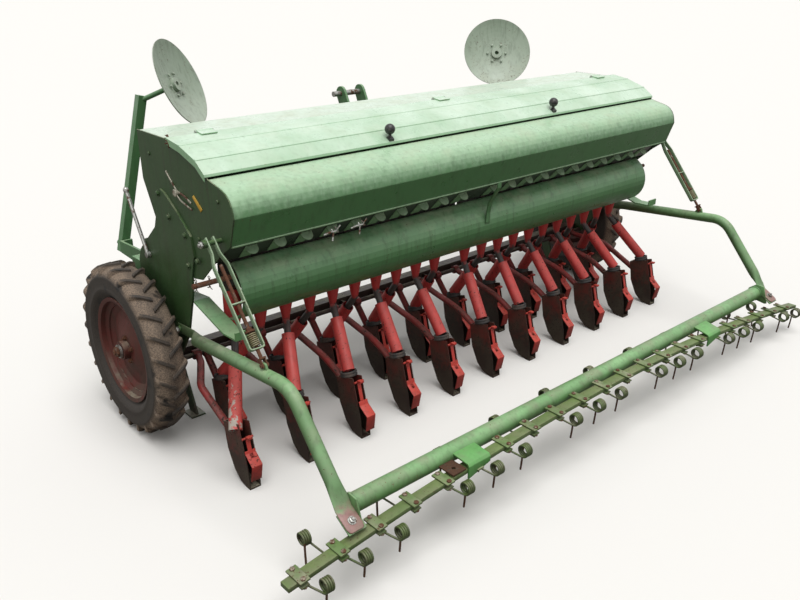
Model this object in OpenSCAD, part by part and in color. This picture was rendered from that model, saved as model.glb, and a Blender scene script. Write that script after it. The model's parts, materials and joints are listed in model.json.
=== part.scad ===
/* [Rows] */
// Number of seed rows, odd
row_count = 21; // [15:2:25]
// Distance between two rows
row_pitch = 125; // [105:1:140]
// Distance from the front to the rear rank of coulters
rank_offset = 300; // [240:5:340]
// Row whose seed tube has slid down and lost its rubber ring
dropped_row = 0; // [0:2:24]
// How far that tube has slid down
tube_drop = 55; // [0:5:70]

/* [Hopper] */
// Length of the hopper over its end plates
hopper_length = 2500; // [2300:10:2700]
// Thickness of the hopper's sheet metal
sheet = 3; // [2:0.5:5]
// Height of the hopper's front top edge above the ground
hopper_top_z = 1155; // [1100:5:1220]
// Distance of the hopper's front wall behind the axle
hopper_front = 32; // [20:1:60]
// Width of the fixed strip in front of the lid
strip_width = 216; // [160:2:240]
// Radius of the rear panel's shoulder
shoulder_radius = 75; // [40:1:90]
// Thickness of the hopper's end plates
end_plate = 4; // [3:0.5:8]
// Depth of the lid's turned-down edges
lid_edge = 22; // [14:1:32]
// Distance of the lid's ball knobs from the middle
lid_knob_x = 480; // [300:10:700]
// Diameter of the lid's ball knobs
knob_diameter = 40; // [28:1:50]

/* [Metering] */
// Free space in the middle of the row of seed outlets
outlet_gap = 186; // [120:2:220]
// Space between the outermost outlets and the hopper's ends
outlet_end = 112; // [90:2:140]
// Width of one metering housing
housing_width = 62; // [50:1:80]
// Radius of the rolled seed tray
tray_radius = 112; // [95:1:125]
// Diameter of the bottom-flap shaft
flap_shaft_diameter = 18; // [12:1:24]
// Diameter at the top of a funnel
funnel_diameter = 64; // [50:1:76]

/* [Coulters] */
// Outer diameter of a seed tube
tube_diameter = 48; // [40:1:54]
// Wall of a seed tube
tube_wall = 2.5; // [2:0.5:4]
// Diameter of a coulter arm
arm_diameter = 28; // [20:1:34]
// Width of a coulter boot
boot_width = 44; // [34:1:56]
// Outer diameter of a rubber ring
ring_diameter = 76; // [66:1:84]

/* [Wheels] */
// Diameter over the tyre's lugs
tyre_diameter = 670; // [620:5:700]
// Width of a tyre
tyre_width = 128; // [110:1:145]
// Diameter of a rim over its flanges
rim_diameter = 414; // [390:1:440]
// Distance of a tyre's middle plane from the hopper's end
wheel_offset = 100; // [95:1:120]
// Diameter of an axle stub
axle_diameter = 40; // [30:1:50]
// Running clearance of the wheel hub on its axle, on the radius
hub_clearance = 0.05; // [0.02:0.01:0.1]

/* [Frame] */
// Side of the square front beam
beam_size = 70; // [60:1:90]
// Wall of the square beams
beam_wall = 5; // [4:0.5:8]
// Thickness of the side plates that carry the wheels
side_plate_thickness = 8; // [6:0.5:12]
// Diameter of the lower hitch pins
hitch_pin_diameter = 28; // [22:1:36]
// Distance between the lower hitch brackets
hitch_spread = 825; // [683:1:870]
// Height of the top link pin above the lower pins
mast_height = 610; // [460:1:650]
// Diameter of the top link pin
top_pin_diameter = 25; // [19:1:32]
// Free width between the top link ears
top_link_gap = 100; // [70:1:120]
// Width of a parking stand's bar
stand_width = 50; // [40:1:70]

/* [Harrow] */
// Diameter of the bent harrow arms
harrow_arm_diameter = 45; // [38:1:52]
// Diameter of the harrow's cross tube
cross_tube_diameter = 62; // [50:1:70]
// Side of the square tine bar
tine_bar_size = 40; // [30:1:50]
// Number of spring tines
tine_count = 24; // [20:2:26]
// Diameter of the tine wire
tine_wire = 8; // [6:0.5:10]
// Turns of a tine's coil
coil_turns = 4; // [3:1:5]
// Width of the flat bar of a harrow strut
strut_width = 36; // [28:1:44]

/* [Markers] */
// Diameter of a marker disc
disc_diameter = 350; // [300:5:400]
// Side of a marker arm's square tube
marker_tube = 35; // [30:1:45]

/* [Hidden] */
$fn = 48;

// Gap between pieces that only meet, and gap between pieces that pass each other
seat = 0.3;
pass = 5;

// Places along the travel direction are measured forwards from the axle
wheel_z = tyre_diameter / 2;
half = hopper_length / 2;
side_x = half + side_plate_thickness;
wheel_x = half + wheel_offset;
marker_y = 385;
marker_pin_front = 38;
tine_bar_at = [-1262, 128];
tine_coil_r = 19;
tine_coil_gap = tine_bar_size / 2 + tine_coil_r + tine_wire / 2 + 6;
tine_sweep = tine_coil_r + 40;
tine_drop = tine_bar_at[1] - 6 - tine_wire / 2 - 2;
front_y = marker_y + marker_pin_front;
rear_y = tine_bar_at[0] - tine_coil_gap - tine_sweep - tine_wire / 2 * tine_drop / norm([40, tine_drop]);
axle_y = -(front_y + rear_y) / 2;

// Seed outlets stand in two groups with a gap a little left of the middle
left_rows = (row_count - 1) / 2;
outlet_pitch = (hopper_length - 2 * outlet_end - outlet_gap) / (row_count - 2);
function outlet_x(i) = -half + outlet_end + i * outlet_pitch
  + (i < left_rows ? 0 : outlet_gap - outlet_pitch);
function row_x(i) = (i - (row_count - 1) / 2) * row_pitch;
function is_rear(i) = i % 2 == 0;

// Turns a vector to unit length, and to its left
function unit(v) = v / norm(v);
function left_of(v) = [-v[1], v[0]];

// Mitred sideways offset at point i of an open path, and the outline of a strip along the path
function offset_at(p, i, n) = let(
    a = left_of(unit(i > 0 ? p[i] - p[i - 1] : p[1] - p[0])),
    b = i < n - 1 ? left_of(unit(p[i + 1] - p[i])) : a)
  (a + b) / (1 + a * b);
function strip(p, t) = let(n = len(p)) concat(
  [for (i = [0:n - 1]) p[i] + offset_at(p, i, n) * t / 2],
  [for (i = [n - 1:-1:0]) p[i] - offset_at(p, i, n) * t / 2]);

// Points along an arc, and along the rounding of corner b between a and c
function arc(c, r, a0, a1, n = 6) =
  [for (k = [0:n]) c + r * [cos(a0 + (a1 - a0) * k / n), sin(a0 + (a1 - a0) * k / n)]];
function turn_to(a, b) = (b - a + 540) % 360 - 180;
function rounded(a, b, c, r, n = 5) = let(
    u = unit(a - b), v = unit(c - b), half_angle = acos(u * v) / 2,
    centre = b + unit(u + v) * r / sin(half_angle),
    p = b + u * r / tan(half_angle) - centre, q = b + v * r / tan(half_angle) - centre,
    start = atan2(p[1], p[0]), turn = turn_to(start, atan2(q[1], q[0])))
  arc(centre, r, start, start + turn, n);

// A bend laps into the straight bars by this angle and is this much thinner
bend_lap = 1.5;
bend_skin = 0.1;

// Moves a part from the axle to the middle of the machine's length
module at_axle() translate([0, axle_y, 0]) children();

// Extrudes an outline drawn in length and height from x0 to x1
module across(x0, x1) translate([x0, 0, 0]) rotate([90, 0, 90]) linear_extrude(x1 - x0) children();

// Round bar between two points
module bar(p, q, r) {
  d = q - p;
  translate(p) rotate([0, acos(d[2] / norm(d)), atan2(d[1], d[0])]) cylinder(h = norm(d), r = r);
}

// Round bar bent in the plane of length and height, from a by way of b to c
module bent_bar(x, a, b, c, bend, r) {
  ends = rounded(a, b, c, bend, 1);
  u = unit(b - a);
  v = unit(c - b);
  turn = turn_to(atan2(u[1], u[0]), atan2(v[1], v[0]));
  away = turn > 0 ? 1 : -1;
  centre = ends[0] + away * left_of(u) * bend;
  out = ends[turn > 0 ? 0 : 1] - centre;
  bar([x, a[0], a[1]], [x, ends[0][0], ends[0][1]], r);
  bar([x, ends[1][0], ends[1][1]], [x, c[0], c[1]], r);
  translate([x, centre[0], centre[1]]) rotate([90, 0, 90])
    rotate([0, 0, atan2(out[1], out[0]) - bend_lap])
      rotate_extrude(angle = abs(turn) + 2 * bend_lap) translate([bend, 0]) circle(r = r - bend_skin);
}

// Round bar across the machine
module pin_x(x0, x1, y, z, r) translate([x0, y, z]) rotate([0, 90, 0]) cylinder(h = x1 - x0, r = r);

// Mirrors a left-hand part to the right when side is 1
module on_side(side) mirror([side > 0 ? 1 : 0, 0, 0]) children();

// Hopper section, from the lid's hinge over the front wall and the floor to the rear shoulder
strip_y = -hopper_front - strip_width;
lid_rear = [-505, hopper_top_z - 87];
lip = [-613, hopper_top_z - 279];
belly = [-645, hopper_top_z - 183];
floor_front = [-400, hopper_top_z - 365];
floor_rear = [-500, hopper_top_z - 365];
floor_back = [-588, hopper_top_z - 272];
knee = [-hopper_front - 6, hopper_top_z - 170];
front_top = [-hopper_front, hopper_top_z];
shoulder = rounded(lid_rear, [-632, hopper_top_z - 115], belly, shoulder_radius);
hopper_path = concat(
  [[strip_y, hopper_top_z]],
  rounded([strip_y, hopper_top_z], front_top, knee, 12, 3),
  [knee, floor_front, floor_rear, floor_back, lip, belly],
  [for (k = [len(shoulder) - 1:-1:0]) shoulder[k]],
  [lid_rear]);

// Lid section, from the hinge to the rear edge
lid_rise = pass + sheet;
lid_front = [strip_y - 12, hopper_top_z + lid_rise];
lid_path = [
  lid_front, [-347, hopper_top_z - 12 + lid_rise], [-445, hopper_top_z - 42 + lid_rise],
  lid_rear + [6, lid_rise + 8], lid_rear + [4, lid_rise]];
hinge_axis = [strip_y - 2, hopper_top_z + lid_rise + 2];
hinge_x = [-half + 140, 0, half - 140];
hinge_pin_r = 4;
hinge_barrel_r = 8;
hinge_length = 60;
hinge_ear = 4;
hinge_ear_r = 7;

module hopper() color("mediumseagreen") at_axle() {
  across(-half + end_plate, half - end_plate) polygon(strip(hopper_path, sheet));
  for (x = hinge_x) {
    for (s = [-1, 1]) translate([x + s * (hinge_length / 2 + hinge_ear / 2 + seat), 0, 0])
      across(-hinge_ear / 2, hinge_ear / 2)
        polygon(concat([[strip_y + 14, hopper_top_z], [strip_y + 1, hopper_top_z]],
          arc(hinge_axis, hinge_ear_r, 200, -20, 8)));
    pin_x(x - hinge_length / 2 - hinge_ear - 2, x + hinge_length / 2 + hinge_ear + 2,
      hinge_axis[0], hinge_axis[1], hinge_pin_r);
  }
}

// Outline of a hopper end plate
end_outline = concat(
  [[-hopper_front + sheet / 2, hopper_top_z + sheet / 2], [strip_y, hopper_top_z + sheet / 2],
    [-347, hopper_top_z - 12], [-445, hopper_top_z - 42], lid_rear + [0, sheet / 2]],
  [for (p = shoulder) p + unit(p - [-560, hopper_top_z - 255]) * sheet / 2],
  [belly + [-sheet / 2, 0], lip + [-sheet / 2, 0], [-544, hopper_top_z - 330],
    [-414, hopper_top_z - 448], [-330, hopper_top_z - 465], [-120, hopper_top_z - 330],
    knee + [sheet / 2, 0]]);
// Bolt at the plate's lower rear corner that carries a harrow strut
strut_eye = [-560, hopper_top_z - 270];
strut_bolt_r = 8;
strut_x = half + 36;

module hopper_end(side) color("darkolivegreen") at_axle() on_side(side) {
  across(-half, -half + end_plate) polygon(end_outline);
  pin_x(-strut_x - 24, -half + seat, strut_eye[0], strut_eye[1], strut_bolt_r);
  pin_x(-strut_x - 31, -strut_x - 18, strut_eye[0], strut_eye[1], strut_bolt_r * 1.6);
}

module lid() color("palegreen") at_axle() {
  lid_half = half + pass + sheet;
  across(-lid_half, lid_half) polygon(strip(lid_path, sheet));
  for (s = [-1, 1]) on_side(s)
    across(-lid_half, -lid_half + sheet) polygon(concat(
      [for (k = [0:3]) lid_path[k]],
      [for (k = [3:-1:0]) lid_path[k] + [k == 0 ? -4 : 0, -lid_edge]]));
  for (x = hinge_x) difference() {
    union() {
      pin_x(x - hinge_length / 2, x + hinge_length / 2, hinge_axis[0], hinge_axis[1], hinge_barrel_r);
      across(x - hinge_length / 2, x + hinge_length / 2)
        polygon([hinge_axis + [0, -4], lid_front + [0, 0], lid_front + [-30, -0.5],
          lid_front + [-30, 3], hinge_axis + [-hinge_barrel_r / 2, 5]]);
    }
    pin_x(x - hinge_length, x + hinge_length, hinge_axis[0], hinge_axis[1], hinge_pin_r + 0.1);
  }
}

// Ball knobs on short posts, each with a foot seated on the lid's rear slope
knob_y = -488;
knob_z = hopper_top_z - 25;
knob_run = unit(lid_path[3] - lid_path[2]);
knob_rise = left_of(knob_run) * -1;
knob_foot = lid_path[2] + knob_run * (knob_y - lid_path[2][0]) / knob_run[0] + knob_rise * (sheet / 2 + seat);
module lid_knobs() color("black") at_axle()
  for (x = [-lid_knob_x, lid_knob_x]) {
    across(x - 11, x + 11) polygon([knob_foot - knob_run * 12, knob_foot + knob_run * 12,
      knob_foot + knob_run * 8 + knob_rise * 8, knob_foot - knob_run * 8 + knob_rise * 8]);
    translate([x, knob_y, knob_foot[1] + 5]) cylinder(h = knob_z - knob_foot[1] - 5, r = 6);
    translate([x, knob_y, knob_z]) sphere(r = knob_diameter / 2);
  }

// Metering housings hang under the hopper floor, one for each row
housing_top = hopper_top_z - 365 - sheet / 2;
housing_bottom = housing_top - 95;
outlet_bottom = housing_bottom - 45;
outlet_y = -400;
housing_rear = -484;
shaft_lug_r = flap_shaft_diameter / 2 + 3.5;
lug_rows = [1, 5, left_rows, row_count - 6, row_count - 2];
module metering_housings() {
  housings();
  shaft_lugs();
}
module housings() color("dimgray") at_axle()
  for (i = [0:row_count - 1])
    across(outlet_x(i) - housing_width / 2, outlet_x(i) + housing_width / 2)
      polygon([[-420, housing_top], [housing_rear, housing_top], [housing_rear + 4, housing_bottom],
        [outlet_y - 28, outlet_bottom], [outlet_y + 28, outlet_bottom], [outlet_y + 28, housing_bottom + 40]]);
module shaft_lugs() color("dimgray") at_axle()
  for (i = lug_rows) difference() {
    union() {
      across(outlet_x(i) - 3, outlet_x(i) + 3)
        translate([flap_shaft_y, flap_shaft_z - shaft_lug_r]) square([housing_rear - flap_shaft_y + 6, 2 * shaft_lug_r]);
      pin_x(outlet_x(i) - 3, outlet_x(i) + 3, flap_shaft_y, flap_shaft_z, shaft_lug_r);
    }
    pin_x(outlet_x(i) - 4, outlet_x(i) + 4, flap_shaft_y, flap_shaft_z, flap_shaft_diameter / 2 + seat);
  }

// Sliding shutters on the hopper's sloping rear floor, each with a round tab
slope = unit(floor_back - floor_rear);
slope_out = left_of(slope);
module shutters() color("lightgreen") at_axle()
  for (i = [0:row_count - 1]) {
    low = floor_rear + slope * 6 + slope_out * (sheet / 2 + seat);
    across(outlet_x(i) - 22, outlet_x(i) + 22)
      polygon([low, low + slope * 70, low + slope * 70 + slope_out * 3, low + slope_out * 3]);
    tab = low + slope * 30 + slope_out * 3;
    translate([outlet_x(i), 0, 0]) across(-13, 13)
      polygon([tab, tab + slope_out * 16, tab + slope_out * 16 - slope * 3, tab - slope * 3]);
  }

// Shaft of the bottom flaps, which runs out to the left
flap_shaft_y = -516;
flap_shaft_z = housing_top - 52;
module flap_shaft() color("gray") at_axle() {
  difference() {
    pin_x(-half - 90, half - 20, flap_shaft_y, flap_shaft_z, flap_shaft_diameter / 2);
    for (x = [-half - 78, -half - 30]) translate([x, flap_shaft_y, flap_shaft_z - 20]) cylinder(h = 40, r = 2.5);
  }
}

// Rolled seed tray under the outlets
tray_centre = [-450, hopper_top_z - 483];
tray_path = concat(
  arc(tray_centre, tray_radius, 112, 262, 14),
  [tray_centre + [10, -tray_radius - 6]]);
tray_half = half - 62;
module seed_tray() color("mediumseagreen") at_axle() {
  across(-tray_half, tray_half) polygon(strip(tray_path, sheet));
  across(-12, 12)
    polygon(strip([lip + [-4, -2], lip + [-4, -24], tray_centre + [-122, 108], tray_centre + [-114, 63],
      tray_centre + [-114, 18]], 4));
}

module tray_bracket(side) color("yellowgreen") at_axle() on_side(side)
  across(-half, -tray_half - seat)
    polygon(strip([tray_centre + [220, -82], tray_centre + [120, -72], tray_centre + [-70, -127],
      tray_centre + [-150, -124], tray_centre + [-150, -97]], 6));

// Funnels and their necks
funnel_top = outlet_bottom - seat;
funnel_cone_top = funnel_top - 90;
neck_z = funnel_cone_top - 95;
neck_r = 13;
tube_r = tube_diameter / 2;
boot_top = [-560, 238];
ring_height = 22;
boot_tilt = atan(30 / 100);
function rank_y(i) = is_rear(i) ? 0 : rank_offset;
function tube_foot(i) = [row_x(i), boot_top[0] + rank_y(i), boot_top[1] + ring_height / 2];
function neck_top(i) = [outlet_x(i), outlet_y, neck_z];
function tube_direction(i) = unit(tube_foot(i) - neck_top(i));
function tube_head(i) = neck_top(i) + tube_direction(i) * 60;
module funnels() color("firebrick") at_axle()
  for (i = [0:row_count - 1]) {
    translate([outlet_x(i), outlet_y, funnel_cone_top]) difference() {
      cylinder(h = funnel_top - funnel_cone_top, r = funnel_diameter / 2);
      translate([0, 0, -1]) cylinder(h = funnel_top, r = funnel_diameter / 2 - 2);
    }
    translate([outlet_x(i), outlet_y, neck_z]) cylinder(h = funnel_cone_top - neck_z,
      r1 = neck_r, r2 = funnel_diameter / 2);
    translate([outlet_x(i), outlet_y, neck_z]) sphere(r = neck_r + 0.5);
    bar(neck_top(i), neck_top(i) + tube_direction(i) * 130, neck_r);
  }

// Telescoping seed tubes, open at their heads
module seed_tubes() color("tomato") at_axle()
  for (i = [0:row_count - 1]) {
    down = i == dropped_row ? tube_drop : 0;
    head = tube_head(i) + tube_direction(i) * down;
    foot = tube_foot(i) + tube_direction(i) * down;
    difference() {
      bar(head, foot, tube_r);
      bar(head - tube_direction(i), foot + tube_direction(i), tube_r - tube_wall);
    }
  }

// Rubber rings between tubes and boots
module tube_rings() color("dimgray") at_axle()
  for (i = [0:row_count - 1]) if (i != dropped_row) difference() {
    translate([row_x(i), boot_top[0] + rank_y(i), boot_top[1]]) rotate([-boot_tilt, 0, 0])
      translate([0, 0, -ring_height / 2]) cylinder(h = ring_height, r = ring_diameter / 2);
    bar(tube_head(i), tube_foot(i) + tube_direction(i) * 60, tube_r + seat);
  }

// Coulter boots, drawn for the rear rank
ring_axis = [sin(boot_tilt), cos(boot_tilt)];
function boot_rim(y) = let(c = boot_top - ring_axis * (ring_height / 2 + seat))
  [y, c[1] - (y - c[0]) * ring_axis[0] / ring_axis[1]];
boot_outline = [boot_rim(-510), [-528, 110], [-565, 40], [-600, 10], [-640, 0], [-662, 0],
  [-655, 80], boot_rim(-612)];
boot_wall = 3;
boot_inside = [[-516, 230], [-534, 112], [-570, 46], [-603, 16], [-640, 6], [-680, 6],
  [-680, 80], [-640, 260]];
module coulter_boots() color("darkolivegreen") at_axle()
  for (i = [0:row_count - 1]) translate([0, rank_y(i), 0]) difference() {
    across(row_x(i) - boot_width / 2, row_x(i) + boot_width / 2) polygon(boot_outline);
    across(row_x(i) - boot_width / 2 + boot_wall, row_x(i) + boot_width / 2 - boot_wall)
      polygon(boot_inside);
    if (i == dropped_row) translate([0, -rank_y(i), 0])
      bar(tube_foot(i) - tube_direction(i) * 40, tube_foot(i) + tube_direction(i) * (tube_drop + 1), tube_r + seat);
  }

// Red flap hinged behind each boot
flap_sheet = 4;
flap_half = boot_width / 2 - 1;
boot_back = boot_outline[len(boot_outline) - 2] - boot_outline[len(boot_outline) - 1];
flap_seat = left_of(unit(boot_back)) * -(flap_sheet / 2 + seat);
function on_back(t) = boot_outline[len(boot_outline) - 1] + boot_back * t + flap_seat;
flap_path = [on_back(0.12), on_back(0.78), [-690, 112], [-672, 50]];
module boot_flaps() color("tomato") at_axle()
  for (i = [0:row_count - 1]) translate([0, rank_y(i), 0])
    across(row_x(i) - flap_half, row_x(i) + flap_half)
      polygon(strip(flap_path, flap_sheet));

// Pivot rail of the coulters, with a rod that the arms hang on
rail_y = -90;
rail_z = 300;
rail_size = 50;
rod_y = rail_y - 55;
rod_r = 10;
rail_half = half;
module square_tube(x0, x1, y, z, size, wall) difference() {
  across(x0, x1) translate([y - size / 2, z - size / 2]) square(size);
  across(x0 - 1, x1 + 1) translate([y - size / 2 + wall, z - size / 2 + wall]) square(size - 2 * wall);
}
rail_bracket_x = [for (k = [-2:2]) k * 4 * row_pitch + row_pitch / 2];
module coulter_rail() color("firebrick") at_axle() {
  square_tube(-rail_half, rail_half, rail_y, rail_z, rail_size, beam_wall);
  pin_x(-rail_half, rail_half, rod_y, rail_z, rod_r);
  for (x = rail_bracket_x) across(x - 5, x + 5)
    translate([rod_y, rail_z - 14]) square([rail_y - rod_y - rail_size / 2 + 1, 28]);
}

// Bent coulter arms, each with an eye on the rod
arm_r = arm_diameter / 2;
arm_bend = [-455, 268];
arm_end = [-506, 205];
function pivot_x(i) = max(-half + 45, min(half - 45, row_x(i)));
module coulter_arms() color("firebrick") at_axle()
  for (i = [0:row_count - 1]) {
    bend = arm_bend + [rank_y(i), 0];
    difference() {
      union() {
        pin_x(pivot_x(i) - 15, pivot_x(i) + 15, rod_y, rail_z, rod_r + 9);
        bar([pivot_x(i), rod_y - 12, rail_z - 2], [row_x(i), bend[0], bend[1]], arm_r);
        translate([row_x(i), bend[0], bend[1]]) sphere(r = arm_r + 0.5);
        bar([row_x(i), bend[0], bend[1]], [row_x(i), arm_end[0] + rank_y(i) - 20, arm_end[1] - 30], arm_r);
      }
      pin_x(pivot_x(i) - 20, pivot_x(i) + 20, rod_y, rail_z, rod_r + seat);
      translate([0, rank_y(i), 0]) across(row_x(i) - 40, row_x(i) + 40)
        polygon([[-510 + seat, 300], [-510 + seat, 205], [-528 + seat, 110], [-700, 110], [-700, 300]]);
    }
  }

// Side plates that carry the wheels, shown for the left side
beam_y = 96;
beam_z = 612;
beam_rear = beam_y - beam_size / 2;
side_outline = [[-175, hopper_top_z - 180], [-205, hopper_top_z - 189], [-300, hopper_top_z - 250],
  [-368, hopper_top_z - 305], [-380, hopper_top_z - 375], [-352, 700],
  [-345, 640], [-283, 455], [-160, 290], [-60, 272], [40, 290], [beam_rear, 340],
  [beam_rear, 660], [40, 700], [-104, hopper_top_z - 334], [-140, hopper_top_z - 249]];
harrow_pivot = [-250, 475];
harrow_bolt_r = 8;
harrow_x = strut_x;
module side_plate(side) color("darkgreen") at_axle() on_side(side) {
  difference() {
    across(-side_x, -half) polygon(side_outline);
    pin_x(-side_x - 1, -half + 1, 0, wheel_z, axle_diameter / 2 + 0.1);
  }
  pin_x(-side_x - 22, -side_x + 1, harrow_pivot[0], harrow_pivot[1], harrow_bolt_r);
  pin_x(-side_x - 22, -side_x - 15, harrow_pivot[0], harrow_pivot[1], harrow_bolt_r * 1.6);
}

axle_r = axle_diameter / 2;
axle_end = wheel_x + 62;
hub_inner = 40;
hub_outer = 52;
module axle(side) color("silver") at_axle() on_side(side) {
  pin_x(-axle_end, -half, 0, wheel_z, axle_r);
  pin_x(-side_x - 8, -side_x, 0, wheel_z, axle_r + 22);
  pin_x(-wheel_x + hub_inner + 1, -side_x - 8, 0, wheel_z, axle_r + 8);
  pin_x(-axle_end, -axle_end + 8, 0, wheel_z, axle_r + 6);
}

// Tyre and rim profiles, drawn as radius and distance from the wheel's middle plane
module wheel_revolve(side) translate([side * wheel_x, 0, wheel_z]) rotate([0, side * 90, 0])
  rotate_extrude() children();
rim_r = rim_diameter / 2;
tyre_wall = 11;
lug_height = 14;
tread_r = tyre_diameter / 2 - lug_height;
tyre_half = tyre_width / 2;
bead = 11.3;
tyre_path = [[rim_r - bead, -33], [rim_r + 8, -37], [rim_r + 24, -tyre_half + 9], [rim_r + 55, -tyre_half + 6],
  [tread_r - 22, -tyre_half + 10], [tread_r - 4, -tyre_half + 32], [tread_r, 0],
  [tread_r - 4, tyre_half - 32], [tread_r - 22, tyre_half - 10], [rim_r + 55, tyre_half - 6],
  [rim_r + 24, tyre_half - 9], [rim_r + 8, 37], [rim_r - bead, 33]];
module tyre(side) color("black") at_axle() {
  wheel_revolve(side) polygon(strip(tyre_path, tyre_wall));
  wheel_revolve(side) translate([tread_r + tyre_wall / 2 - 5, -tyre_half + 20]) square([13.5, tyre_width - 40]);
}

hub_r = axle_r + 16;
rim_path = [[rim_r, 47], [rim_r - 14, 43], [rim_r - 17, 26], [rim_r - 34, 18], [rim_r - 34, -18],
  [rim_r - 17, -26], [rim_r - 14, -43], [rim_r, -47]];
disc_path = [[rim_r - 35, 12], [rim_r - 60, 2], [rim_r - 95, 8], [hub_r + 20, 24], [hub_r - 2, 24]];
module rim(side) color("firebrick") at_axle() difference() {
  union() {
    wheel_revolve(side) polygon(strip(rim_path, 4));
    wheel_revolve(side) polygon(strip(disc_path, 5));
    wheel_revolve(side) translate([axle_r + hub_clearance, -hub_inner])
      square([16 - hub_clearance, hub_inner + hub_outer]);
  }
  for (k = [0:4]) translate([side * wheel_x, 0, wheel_z]) rotate([72 * k, 0, 0])
    translate([0, 0, hub_r + 11]) rotate([0, side * 90, 0]) cylinder(h = 60, r = 5);
}

// Front beam across the machine and the tripod for the tractor's top link
module front_beam() color("green") at_axle() {
  square_tube(-half, half, beam_y, beam_z, beam_size, beam_wall);
  for (s = [-1, 1]) on_side(s) {
    across(-side_x, -half) translate([beam_y - beam_size / 2, beam_z - beam_size / 2]) square(beam_size);
    across(-marker_x - 25, -marker_x - 15)
      polygon([[beam_y + beam_size / 2, beam_z - 35], [beam_y + beam_size / 2, beam_z + 35],
        [marker_y - 25, beam_z + 25], [marker_y - 25, beam_z - 25]]);
    across(-marker_x - 25, -marker_x + 25)
      translate([marker_y - 35, beam_z - 25]) square([10, 50]);
    translate([-marker_x, marker_y - 30, marker_z]) rotate([-90, 0, 0])
      cylinder(h = 30 + marker_pin_front, r = marker_pin_r);
    along_stand() difference() {
      translate([-stand_bar / 2 - 5, -stand_width / 2 - 5, -45])
        cube([stand_bar + 10, stand_width + 10, 90]);
      translate([-stand_bar / 2 - seat, -stand_width / 2 - seat, -60])
        cube([stand_bar + 2 * seat, stand_width + 2 * seat, 120]);
    }
    across(-stand_x + stand_bar / 2 + 1, -stand_x + stand_bar / 2 + 5)
      translate([beam_y + beam_size / 2 - 1, beam_z - 25]) square([24, 50]);
  }
}

lower_pin_z = 512;
top_pin_z = lower_pin_z + mast_height;
lower_pin_y = 330;
top_pin_y = 345;
ear_thickness = 12;
mast_top_r = 33;
module headstock() color("green") at_axle() difference() {
  for (s = [-1, 1]) on_side(s)
    across(-top_link_gap / 2 - ear_thickness, -top_link_gap / 2) polygon(concat(
      [[beam_y - 30, beam_z + beam_size / 2], [beam_y + beam_size / 2, beam_z + beam_size / 2],
        [beam_y + beam_size / 2 + 60, beam_z + 90]],
      arc([top_pin_y, top_pin_z], mast_top_r, -20, 160, 8)));
  pin_x(-top_link_gap, top_link_gap, top_pin_y, top_pin_z, top_pin_diameter / 2);
}

module top_link_pin() color("silver") at_axle() {
  pin_x(-top_link_gap / 2 - 55, top_link_gap / 2 + 30, top_pin_y, top_pin_z, top_pin_diameter / 2);
}

module hitch(side) color("green") at_axle() on_side(side) {
  x = -hitch_spread / 2;
  across(x, x + 15) polygon(concat(
    [[beam_y + beam_size / 2, beam_z + 34], [beam_y + beam_size / 2, beam_z - 34],
      [beam_y + beam_size / 2 + 20, lower_pin_z - 50]],
    arc([lower_pin_y, lower_pin_z], 40, -80, 80, 8)));
  pin_x(x - 60, x + 20, lower_pin_y, lower_pin_z, hitch_pin_diameter / 2);
}

// Parking stands slide in sleeves on the front of the beam
stand_x = half - 88;
stand_bar = 10;
stand_sleeve = [182, beam_z];
stand_foot = [-67, 0];
stand_run = unit(stand_foot - stand_sleeve);
stand_length = norm(stand_foot - stand_sleeve);
module along_stand() translate([-stand_x, stand_sleeve[0], stand_sleeve[1]])
  rotate([atan2(stand_run[1], stand_run[0]) + 90, 0, 0]) children();
module stand(side) color("saddlebrown") at_axle() on_side(side) difference() {
  union() {
    along_stand() translate([-stand_bar / 2, -stand_width / 2, -stand_length - 20])
      cube([stand_bar, stand_width, stand_length + 90]);
    across(-stand_x - 30, -stand_x + 30) translate([stand_foot[0] - 35, 0]) square([70, 6]);
  }
  across(-stand_x - 40, -stand_x + 40) translate([stand_foot[0] - 60, -60]) square([120, 60]);
}

// Crank at the left front corner
module depth_crank() color("gray") at_axle() {
  x = -side_x - 8;
  pin_x(-side_x - 16, -side_x, -38, 700, 12);
  bar([x, -38, 700], [x, 75, 895], 7);
  bar([x - 45, 75, 895], [x + 8, 75, 895], 7);
}

// Lever and scale on the left end plate
module setting_lever() color("lightgray") at_axle() {
  lever_z = hopper_top_z - 195;
  across(-half - 4, -half)
    polygon([[-215, lever_z + 90], [-230, lever_z + 70], [-380, lever_z + 15], [-368, lever_z + 35]]);
  pin_x(-half - 12, -half, -310, lever_z, 10);
  across(-half - 12, -half - 7)
    polygon([[-300, lever_z - 5], [-310, lever_z + 10], [-455, lever_z - 20], [-452, lever_z - 35]]);
}

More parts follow.
